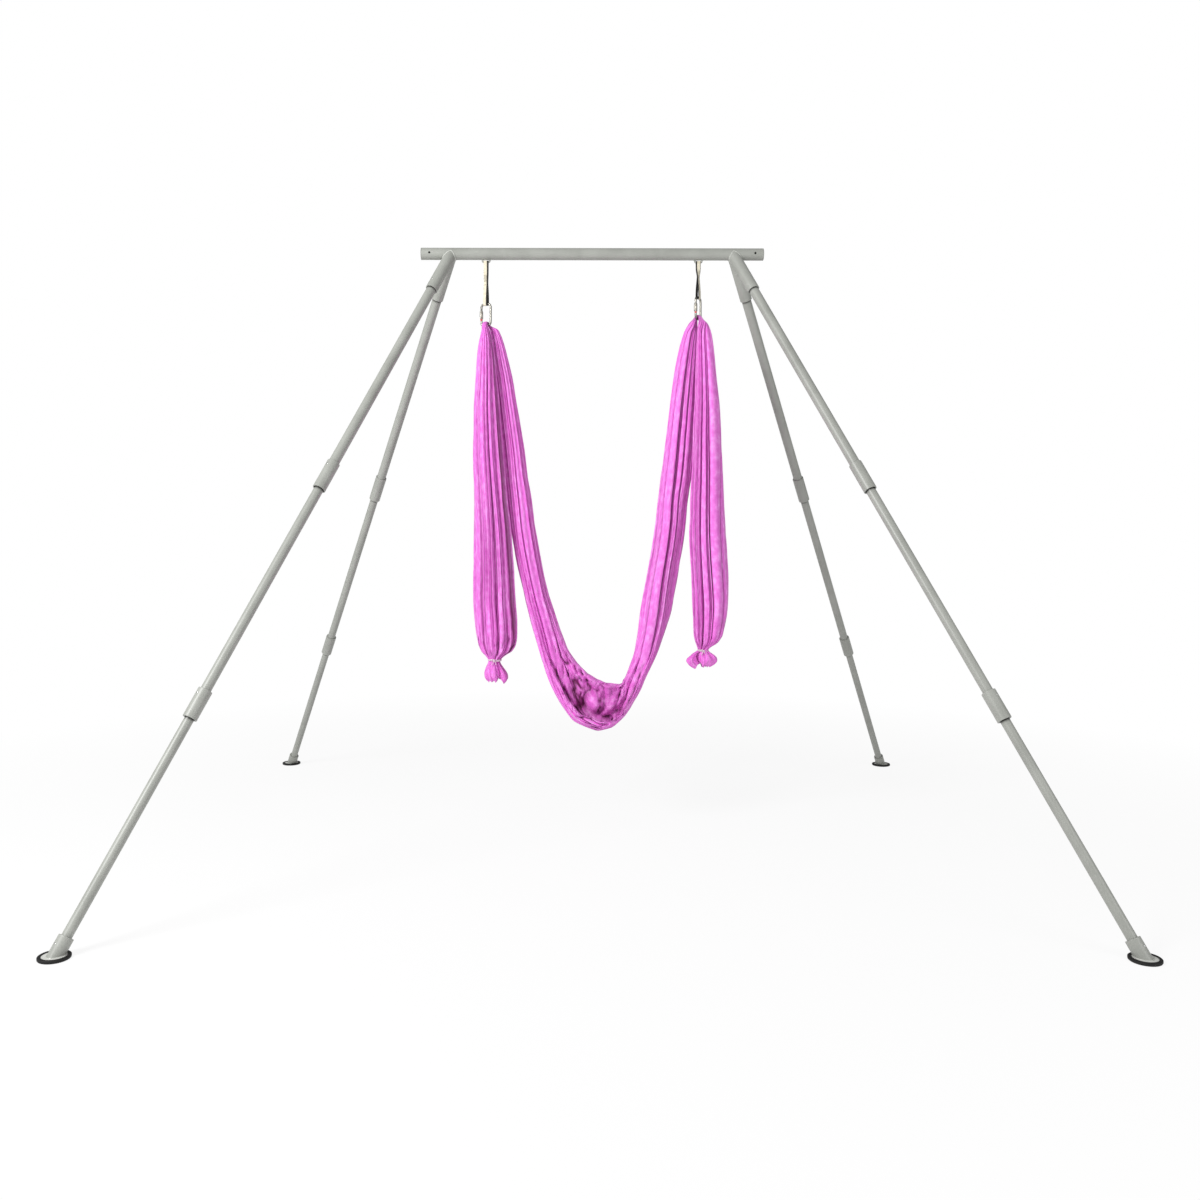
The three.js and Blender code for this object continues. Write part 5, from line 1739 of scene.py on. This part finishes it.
    def tail_rows(self, run: SilkRun, table: tuple, tie: float, hanger: Hanger) -> None:
        """Add a tail's rows, read from its two edges in the photograph: up the left tail,
        with across to +X, and down the right tail, with across to -X.

        Args:
            run: Where the rows go.
            table: Rows of pixel height, left edge, right edge and share of the depth.
            tie: The pixel height of the string that ties it.
            hanger: The point that it hangs from.
        """
        rows, start, facing = [], hanger.bow[2], -hanger.side.value
        for py, left_px, right_px, depth in table:
            y = -self.parting * min(1.0, 0.3 + depth)
            low, high = VIEW.seen(left_px, py, y), VIEW.seen(right_px, py, y)
            centre = (low + high) / 2
            half = (high[0] - low[0]) / 2
            near = eased(start - centre[2], 0.0, self.bow_blend)
            turn = hanger.crown.out * facing * (1 - near) + np.array([facing, 0, 0]) * near
            back = UPRIGHT.across if near > 0 else hanger.crown.across
            tassel = eased(py, tie + 1.0, tie + 6.0)
            rumple = 0.35 * eased(py, tie - 60.0, tie - 8.0) * (1 - tassel)
            half_depth = self.tail_depth * depth
            fold = min(half, half_depth) * (0.98 - 0.68 * tassel)
            rows.append((centre, unit(turn), back, (half, half_depth, fold, rumple, tassel, 0.0)))
        for row in (rows[::-1] if hanger.side is Side.LEFT else rows):
            run.add(*row)

    def bow_rows(self, run: SilkRun, hanger: Hanger) -> None:
        """Add the rows that turn over a carabiner's bow on half a circle: to the back on
        the left, and to the front on the right.

        Args:
            run: Where the rows go.
            hanger: The carabiner's place.
        """
        facing = -hanger.side.value
        turns = np.linspace(np.pi, 0.0, 7) if facing > 0 else np.linspace(0.0, np.pi, 7)
        for turn in turns:
            radial = math.cos(turn) * hanger.crown.across + math.sin(turn) * UPRIGHT.up
            run.add(hanger.bow + self.bow_reach * radial, hanger.crown.out * facing, -radial,
                    self.bow_shape)

    def loop_rows(self, run: SilkRun) -> None:
        """Add the loop's rows, read from its outer and inner edges in the photograph.

        Args:
            run: Where the rows go.
        """
        for index, (out_px, out_py, in_px, in_py, depth, open_share) in enumerate(self.loop):
            on_left = index < len(self.loop) / 2
            y = self.parting * min(1.0, 0.3 + depth) * (1 - open_share)
            outer, inner = VIEW.seen(out_px, out_py, y), VIEW.seen(in_px, in_py, y)
            centre, half = (outer + inner) / 2, float(np.linalg.norm(inner - outer)) / 2
            half_depth = self.loop_depth * depth
            fold = 0.98 * min(half, half_depth) * (1 - 0.4 * open_share)
            rumple = eased(min(out_py, in_py), 595.0 if on_left else 645.0, 690.0)
            direction = unit(inner - outer)
            hanger = HANGERS[0 if on_left else 1]
            near = eased(hanger.bow[2] - centre[2], 0.0, self.bow_blend)
            side = hanger.crown.out if on_left else -hanger.crown.out
            run.add(centre, unit(side * (1 - near) + direction * near), -UPRIGHT.across,
                    (half, half_depth, fold, rumple, 0.0, open_share))

    def assembled(self) -> tuple[Array, ...]:
        """Join the runs and read them at even steps, finer at the bows, ties and seat.

        Returns:
            By row: the place along the cloth, the middle, across, inward, the shape, and how
            much the row belongs to the left tail, left arm, right arm and right tail.
        """
        run = SilkRun()
        self.tail_rows(run, self.left_tail, self.tie_rows[0], HANGERS[0])
        left_end = len(run.centre)
        self.bow_rows(run, HANGERS[0])
        self.loop_rows(run)
        self.bow_rows(run, HANGERS[1])
        right_start = len(run.centre)
        self.tail_rows(run, self.right_tail, self.tie_rows[1], HANGERS[1])
        centre, across = np.array(run.centre), np.array(run.across)
        inward, shape = np.array(run.inward), np.array(run.shape)
        place = lengths(centre)
        columns = np.concatenate([centre, across, inward, shape], axis=1)
        fine = np.arange(0.0, place[-1], 0.002)
        dense = np.stack([np.interp(fine, place, column) for column in columns.T], axis=1)
        ties, bows = (place[4], place[-5]), (place[left_end + 3], place[right_start - 4])
        nearest = np.min([np.abs(fine - mark) for mark in ties + bows], axis=0)
        middle = (bows[0] + bows[1]) / 2
        loose = eased(nearest, 0.06, 0.22) * (1 - 0.6 * (1 - eased(np.abs(fine - middle), 0.12, 0.35)))
        loose = loose[:, None]
        dense = self.smoothed(dense, 7) * (1 - loose) + self.smoothed(dense, 26) * loose
        density = np.full(len(fine), 0.42)
        for mark, reach, weight in ((ties[0], 0.10, 2.2), (ties[1], 0.10, 2.2), (bows[0], 0.07, 3.4),
                                    (bows[1], 0.07, 3.4), (middle, 0.36, 2.1)):
            density += weight * (1 - eased(np.abs(fine - mark), reach * 0.6, reach * 1.4))
        filled = np.concatenate([[0.0], np.cumsum(density)[:-1]])
        at = np.interp(np.linspace(0.0, filled[-1], self.rows), filled, fine)
        values = np.stack([np.interp(at, fine, column) for column in dense.T], axis=1)
        steps = [eased(at, bows[0] - 0.12, bows[0] + 0.12), eased(at, middle - 0.35, middle + 0.35),
                 eased(at, bows[1] - 0.12, bows[1] + 0.12)]
        weights = joined(1 - steps[0], steps[0] - steps[1], steps[1] - steps[2], steps[2])
        return at, values[:, 0:3], unit(values[:, 3:6]), values[:, 6:9], values[:, 9:15], weights

    def smoothed(self, columns: Array, reach: int) -> Array:
        """Soften each column by a moving mean of a few steps, with the ends held."""
        kernel = np.hanning(2 * reach + 3)[1:-1]
        kernel = kernel / kernel.sum()
        padded = np.pad(columns, ((reach, reach), (0, 0)), mode="edge")
        return np.stack([np.convolve(column, kernel, mode="valid") for column in padded.T], axis=1)

    def panel(self) -> tuple[Array, Array]:
        """One panel and its dive: how far round each point is, and how far in."""
        q = np.array([0.0, 0.03, 0.08, 0.20, 0.38, 0.56, 0.73, 0.87, 0.935, 0.955, 0.97, 0.985])
        g = np.array([0.34, 0.09, 0.02, 0.0, 0.0, 0.0, 0.0, 0.03, 0.24, 0.62, 1.0, 0.66])
        return q, g

    def panels(self, table: tuple, hidden: float | tuple, weights: Array) -> Array:
        """Blend a table of panel values along the cloth.

        Args:
            table: For each side, the seen panels of its tail and of its arm.
            hidden: The value of each hidden panel, or all of them.
            weights: How much each row belongs to each of the four runs.

        Returns:
            One value for each row and panel. The tails show their last panels, the arms
            their first ones.
        """
        back = np.broadcast_to(np.asarray(hidden, float), (10,))
        (left_tail, left_arm), (right_tail, right_arm) = table
        runs = [np.concatenate([back, left_tail]), np.concatenate([left_arm, back]),
                np.concatenate([right_arm, back]), np.concatenate([back, right_tail])]
        return weights @ np.stack(runs)

    def pleated(self, rows: Array, weights: Array, half: Array, depth: Array, fold: Array,
                dish: Array) -> tuple[Array, Array, Array, Array]:
        """Lay the panels round each section, with their dives, recesses and crowns.

        Args:
            rows: The place along the cloth.
            weights: How much each row belongs to each of the four runs.
            half: The section's half width.
            depth: Its half depth.
            fold: How deep its folds dive.
            dish: How open it is.

        Returns:
            How far round each point is, how far it stands out, how dark its painted shade is and
            how wide its panel is, as a share of the ring.
        """
        q, g = self.panel()
        per, number = len(q), np.arange(self.pleats, dtype=float)[None]
        width = self.panels(self.seen_widths, self.hidden, weights)
        width = width * np.exp(0.26 * cloudy(rows / 0.6, number * 1.0, 11))
        width = width / width.sum(axis=1, keepdims=True)
        soft = self.panels(self.seen_softness, 0.0, weights)
        soft = np.clip(soft + 0.35 * cloudy(rows / 0.6, number, 17), 0.0, 1.0)
        recess = self.panels(self.seen_recess, 0.002, weights)
        begin = np.cumsum(width, axis=1) - width
        even = np.arange(per) / per
        loose = soft[:, :, None] * 0.85
        turn = q * (1 - loose) + even * loose
        wave = (0.5 - 0.5 * np.cos(2 * np.pi * (even + 0.12))) ** 2
        reach = self.panels((((1.0,) * 8,) * 2,) * 2, 1.35, weights)
        shown = np.clip((1.35 - reach) / 0.35, 0.0, 1.0)
        deep = fold * reach * (1 - 0.82 * soft) * (1 - (0.62 + 0.32 * shown) * dish)
        deep = deep * (0.86 + 0.14 * cloudy(rows / 0.4, number, 23))
        dive = (g * (1 - loose) + wave * loose) * deep[:, :, None]
        slant = 0.25 * cloudy(rows / 0.8, number, 31)[:, :, None] * (g * (1 - loose))
        share = begin[:, :, None] + width[:, :, None] * np.clip(turn + slant, -0.4, 1.4)
        crown = np.sin(np.pi * turn) * width[:, :, None]
        swell = 0.34 * crown * (half + depth)[:, :, None] - dive
        swell -= recess[:, :, None] * np.minimum(half / 0.07, 1.0)[:, :, None] * np.sin(np.pi * turn) ** 0.5
        # painted shade: the dives darken by how deep they are
        dark = np.clip((dive - 0.004) / 0.014, 0.0, 1.0) ** 1.3 * 0.95
        share, swell, dark = (x.reshape(self.rows, -1) for x in (share, swell, dark))
        return share, swell, dark, np.repeat(width, per, axis=1)

    def grid(self) -> tuple[Array, Array, Array]:
        """The cloth's points, its own coordinates in metres, and the painted shade of its folds.

        Each point stands on an ellipse in its section, at an angle that runs with the
        panels, and is moved along the ellipse's normal: inwards by the panel's dive and
        recess, outwards by its crown, and either way by folds and creases.

        Returns:
            The points, the coordinates and the painted shade of folds, dish and heap, by row and column.
        """
        at, centre, across, inward, shape, weights = self.assembled()
        inward = unit(inward - across * np.sum(inward * across, axis=1, keepdims=True))
        half, depth, fold, rumple, tassel, dish = (shape[:, k:k + 1] for k in range(6))
        rows = at[:, None]
        share, swell, dark, broad = self.pleated(rows, weights, half, depth, fold, dish)
        folds, crumple = self.ripples(rows, share, broad, half)
        shown = rumple * self.calmed(share, weights)
        # painted shade in the crumples' valleys, and on the side of a tail that an arm hangs against
        valley = np.clip((-crumple - 0.0055) / 0.008, 0.0, 1.0) * np.minimum(1.6 * shown, 1.0)
        crumple = crumple * shown
        swell += folds
        dark = dark + 0.78 * valley + self.lee(share, weights)
        share = np.concatenate([share, np.ones((self.rows, 1))], axis=1)
        swell, crumple, dark = (np.concatenate([x, x[:, :1]], axis=1) for x in (swell, crumple, dark))
        angle = self.turn(share)
        angle = np.radians(angle + 40.0 * dish * np.sin(np.radians(np.minimum(angle, 180.0))))
        lobes = 0.6 * np.cos(3 * angle + 0.9) + 0.5 * np.cos(5 * angle + 2.4) + 0.2 * np.cos(8 * angle)
        swell += 0.40 * tassel * half * lobes
        normal = unit(joined(np.cos(angle) / half, np.sin(angle) / depth))
        x = half * np.cos(angle) + normal[:, :, 0] * swell
        y = depth * np.sin(angle) + normal[:, :, 1] * swell
        points = centre[:, None] + x[:, :, None] * across[:, None] + y[:, :, None] * inward[:, None]
        points, shade = self.heaped(self.pressed(points, angle, dish), angle, dish, crumple)
        points[:, :, 2] -= tassel * (0.014 * lobes + 0.004 * np.cos(11 * angle))
        spacing = np.linalg.norm(np.diff(points, axis=1), axis=2).mean(axis=0)
        u = np.concatenate([[0.0], np.cumsum(spacing)])
        u = u / u[-1] * self.cut_width
        uv = np.stack(np.meshgrid(at, u, indexing="ij")[::-1], axis=2)
        return points, uv, np.clip(dark + shade, 0.0, 0.93)

    def ripples(self, rows: Array, share: Array, broad: Array, half: Array) -> tuple[Array, Array]:
        """Soft folds along the cloth, slanting creases, and the crumples of the seat.

        Args:
            rows: The place along the cloth.
            share: How far round each point is.
            broad: How wide the point's panel is, as a share of the ring.
            half: The section's half width.

        Returns:
            How far each point stands out by folds, and by crumples where they show in full.
        """
        size = np.minimum(half / 0.1, 1.0)
        soft_folds = cloudy(rows / 0.55, share * 26.0, 3) * np.minimum(broad / 0.15, 1.0) * 0.0050
        fine_folds = cloudy(rows / 0.30 + share * 3.0, share * 60.0, 4) * 0.0004
        slanting = creased(rows / 0.20 + share * 9.0, share * 12.0 - rows / 0.6, 6) * -0.0020
        crumple = creased(rows / 0.10 + share * 12.0, share * 34.0 - rows / 0.20, 5) * -0.0170
        crumple += creased(rows / 0.050 - share * 12.0, share * 52.0 + rows / 0.10, 7) * -0.0090
        crumple += creased(rows / 0.034 + share * 8.0, share * 60.0 - rows / 0.08, 9) * -0.0045
        return (soft_folds + fine_folds + slanting) * size, crumple * size

    def turn(self, share: Array) -> Array:
        """The angle in degrees round the section, for how far round the cloth a point is."""
        return self.first_turn + self.whole_turn * share

    def lee(self, share: Array, weights: Array) -> Array:
        """The shade between a tail and the arm that hangs against it, by how far round
        each point is and how much its row belongs to each run."""
        turn = self.turn(share)
        left = weights[:, 0:1] * eased(turn, 300.0, 336.0) * 0.50
        right = weights[:, 3:4] * eased(turn, 338.0, 354.0) * 0.45
        return left + right + weights[:, 2:3] * (1 - eased(np.abs(turn - 180.0), 6.0, 20.0)) * 0.40

    def calmed(self, share: Array, weights: Array) -> Array:
        """How far the crumples show: on the loop they keep off its rim and its outside."""
        loop, turn = weights[:, 1:2] + weights[:, 2:3], self.turn(share)
        inside = eased(turn, 5.0, 24.0) * (1 - eased(turn, 96.0, 118.0))
        return 1 - loop * (1 - inside) * 0.88

    def pressed(self, points: Array, angle: Array, dish: Array) -> Array:
        """The seat's dish: between the back rim and the front lip the cloth is pressed
        back, gently below the rim and steeply behind the lip, and sinks behind the lip.

        Args:
            points: The cloth's points.
            angle: The angle of each point round its section.
            dish: How open each row is.

        Returns:
            The points with the dish pressed in.
        """
        turn = np.degrees(angle)
        wall = 1 - eased(turn, 105.0, 120.0)
        points[:, :, 1] += 0.100 * dish * eased(turn, 4.0, 72.0) * wall
        points[:, :, 2] -= 0.056 * dish * eased(turn, 35.0, 105.0) * wall
        return points

    def heaped(self, points: Array, angle: Array, dish: Array, crumple: Array) -> tuple[Array, Array]:
        """The oval heap of cloth that lies in the dish: points near its middle stand
        forwards by its height times exp(-d^4), where d is the distance in heap radii.
        Crumples stand forwards too, but hardly on the heap.

        Args:
            points: The cloth's points.
            angle: The angle of each point round its section.
            dish: How open each row is.
            crumple: How far each point stands out by crumples.

        Returns:
            The points with the heap and crumples raised, and the painted shade of heap and dish.
        """
        middle = VIEW.seen(594.5, 702.0, -0.03)
        off = (points[:, :, [0, 2]] - middle[[0, 2]]) / np.array([0.040, 0.046])
        reach = np.sum(off**2, axis=2)
        turn = np.degrees(angle)
        inside = eased(turn, 10.0, 30.0) * (1 - eased(turn, 110.0, 124.0)) * np.minimum(dish * 2.0, 1.0)
        heap = np.exp(-reach**2)
        points[:, :, 1] -= crumple * (1 - 0.8 * heap * inside)
        points[:, :, 1] -= 0.046 * heap * inside
        ring = np.exp(-((np.sqrt(reach) - 1.30) / 0.24) ** 2)
        points[:, :, 1] += 0.026 * ring * inside
        # painted shade: a dark ring round the heap, strongest at its upper left, and a darker dish, more so
        # lower down
        ring = ring * (0.25 + 0.75 * np.exp(-np.sum((off - np.array([-1.0, 0.4])) ** 2, axis=2) / 1.6))
        low = eased(points[:, :, 2], middle[2] + 0.04, middle[2] - 0.10)
        shade = 0.22 * (1 - 0.45 * heap) + 0.14 * low * (1 - heap)
        return points, inside * (0.50 * ring + dish * shade)

    def build(self) -> None:
        points, uv, dark = self.grid()
        # the cloth carries the painted shade of its folds, dish and heap
        cloth = to_object("hammock_cloth", [Surface(points, uv=uv, fold=dark)], 180.0)
        fitted(cloth, SatinTricot(), "hammock", "hammock_silk")
        self.build_ties()

    def build_ties(self) -> None:
        """Tie a string round each tail's neck: three turns, a knot and two short ends."""
        for hanger, table, py in zip(HANGERS, (self.left_tail, self.right_tail), self.tie_rows):
            row = next(r for r in table if r[0] == py)
            low, high = VIEW.seen(row[1], py, -0.0216), VIEW.seen(row[2], py, -0.0216)
            centre, half = (low + high) / 2, (high[0] - low[0]) / 2 + 0.0035
            depth = self.tail_depth * row[3] + 0.0035
            turn = np.linspace(0.0, 6 * np.pi, 180)
            rise = 0.0016 * (turn / np.pi - 3.0) + 0.0006 * np.sin(turn * 1.7)
            coil = centre + joined(half * np.sin(turn), -depth * np.cos(turn), rise)
            line, radius = capped(coil, 0.0013)
            t = np.linspace(0.0, 2 * np.pi, 60)
            front = centre + np.array([0.0, -depth - 0.0028, 0.0])
            knot = front + joined(0.0052 * np.sin(2 * t) + 0.0015 * np.sin(t), -0.0030 * np.cos(3 * t),
                                  0.0046 * np.sin(t) + 0.002 * np.cos(2 * t))
            surfaces = [swept(line, radius, 8), swept(knot, 0.0014, 8, closed=True)]
            for facing in (-1.0, 1.0):
                s = np.linspace(0.0, 1.0, 14)
                end = front + joined(facing * 0.010 * s, -0.004 * np.sin(np.pi * s) - 0.002 * s,
                                     -0.021 * s**1.4)
                line, radius = capped(end, 0.0012)
                surfaces.append(swept(line, radius, 8))
            tie = to_object(f"{hanger.word}_tie_string", surfaces)
            fitted(tie, TIE_STRING, "hammock", f"{hanger.word}_tail_tie")


@dataclass
class Studio:
    """The floor, the soft light and the camera at the photograph's view."""

    sensor: float = 36.0
    world_strength: float = 0.36
    key_power: float = 430.0

    def build(self) -> None:
        """Make everything that lights or carries the rig."""
        self.build_camera()
        self.build_world()
        self.build_lights()
        self.build_floor()

    def build_camera(self) -> None:
        """A level camera, shifted as the photograph's framing asks."""
        data = bpy.data.cameras.new("camera")
        data.sensor_width = self.sensor
        data.lens = self.sensor * VIEW.lens_px / VIEW.frame_px
        data.shift_x = (VIEW.frame_px / 2 - VIEW.centre_px[0]) / VIEW.frame_px
        data.shift_y = -(VIEW.frame_px / 2 - VIEW.centre_px[1]) / VIEW.frame_px
        data.clip_end = 200.0
        camera = bpy.data.objects.new("camera", data)
        camera.location = VIEW.stand
        camera.rotation_euler = (math.pi / 2, VIEW.roll, 0.0)
        bpy.context.scene.collection.objects.link(camera)
        bpy.context.scene.camera = camera

    def build_world(self) -> None:
        """White where it is seen directly or through transmission, and a soft level of light elsewhere."""
        world = bpy.data.worlds.new("studio")
        bpy.context.scene.world = world
        world.use_nodes = True
        tree = world.node_tree
        tree.nodes.clear()
        path, seen, soft, white, mix, output = (tree.nodes.new(kind) for kind in (
            "ShaderNodeLightPath", "ShaderNodeMath", "ShaderNodeBackground", "ShaderNodeBackground",
            "ShaderNodeMixShader", "ShaderNodeOutputWorld"))
        seen.operation = "MAXIMUM"
        soft.inputs["Strength"].default_value = self.world_strength
        for node in (soft, white):
            node.inputs["Color"].default_value = (1.0, 1.0, 1.0, 1.0)
        for source, target in (
            (path.outputs["Is Camera Ray"], seen.inputs[0]),
            (path.outputs["Is Transmission Ray"], seen.inputs[1]),
            (seen.outputs["Value"], mix.inputs["Fac"]),
            (soft.outputs["Background"], mix.inputs[1]),
            (white.outputs["Background"], mix.inputs[2]),
            (mix.outputs["Shader"], output.inputs["Surface"]),
        ):
            tree.links.new(source, target)

    def build_lights(self) -> None:
        """A large key from the front left and above, and a weaker fill from the right."""
        for name, place, size, power in (("key", (-4.6, -4.4, 4.6), 2.6, self.key_power),
                                         ("fill", (4.6, -4.6, 3.0), 3.6, self.key_power * 0.22)):
            data = bpy.data.lights.new(name, "AREA")
            data.shape, data.size, data.energy = "DISK", size, power
            lamp = bpy.data.objects.new(name, data)
            lamp.location = place
            aim = np.array([0.0, 0.0, 1.4]) - np.array(place)
            flat = math.hypot(aim[0], aim[1])
            lamp.rotation_euler = (math.pi / 2 + math.atan2(aim[2], flat), 0.0,
                                   math.atan2(aim[1], aim[0]) - math.pi / 2)
            bpy.context.scene.collection.objects.link(lamp)

    def build_floor(self) -> None:
        """A round floor that runs out into white."""
        angle = circle(96)
        reach = np.array([0.0, 1.0, 2.0, 3.0, 4.5, 7.0, 12.0, 30.0, 60.0])[:, None]
        grid = joined(reach * np.cos(angle), reach * np.sin(angle), -0.0002)
        floor = to_object("studio_floor", [Surface(grid, wrap_cols=True)])
        floor.data.materials.append(PaleFloor().material())


def main() -> None:
    """Build the studio and the rig, in the order in which it is put together."""
    logging.basicConfig(level=logging.INFO, format="%(message)s")
    bpy.context.scene.view_settings.view_transform = "Standard"
    Studio().build()
    TopBeam().build()
    for side in Side:
        SocketPair().build(side)
    for row in Row:
        for side in Side:
            Leg(side, row).build()
            Foot(side, row).build()
    for hanger in HANGERS:
        WebbingLoop(hanger).build()
        ScrewCarabiner(hanger).build()
    SilkHammock().build()
    bpy.context.view_layer.update()


if __name__ == "__main__":
    main()
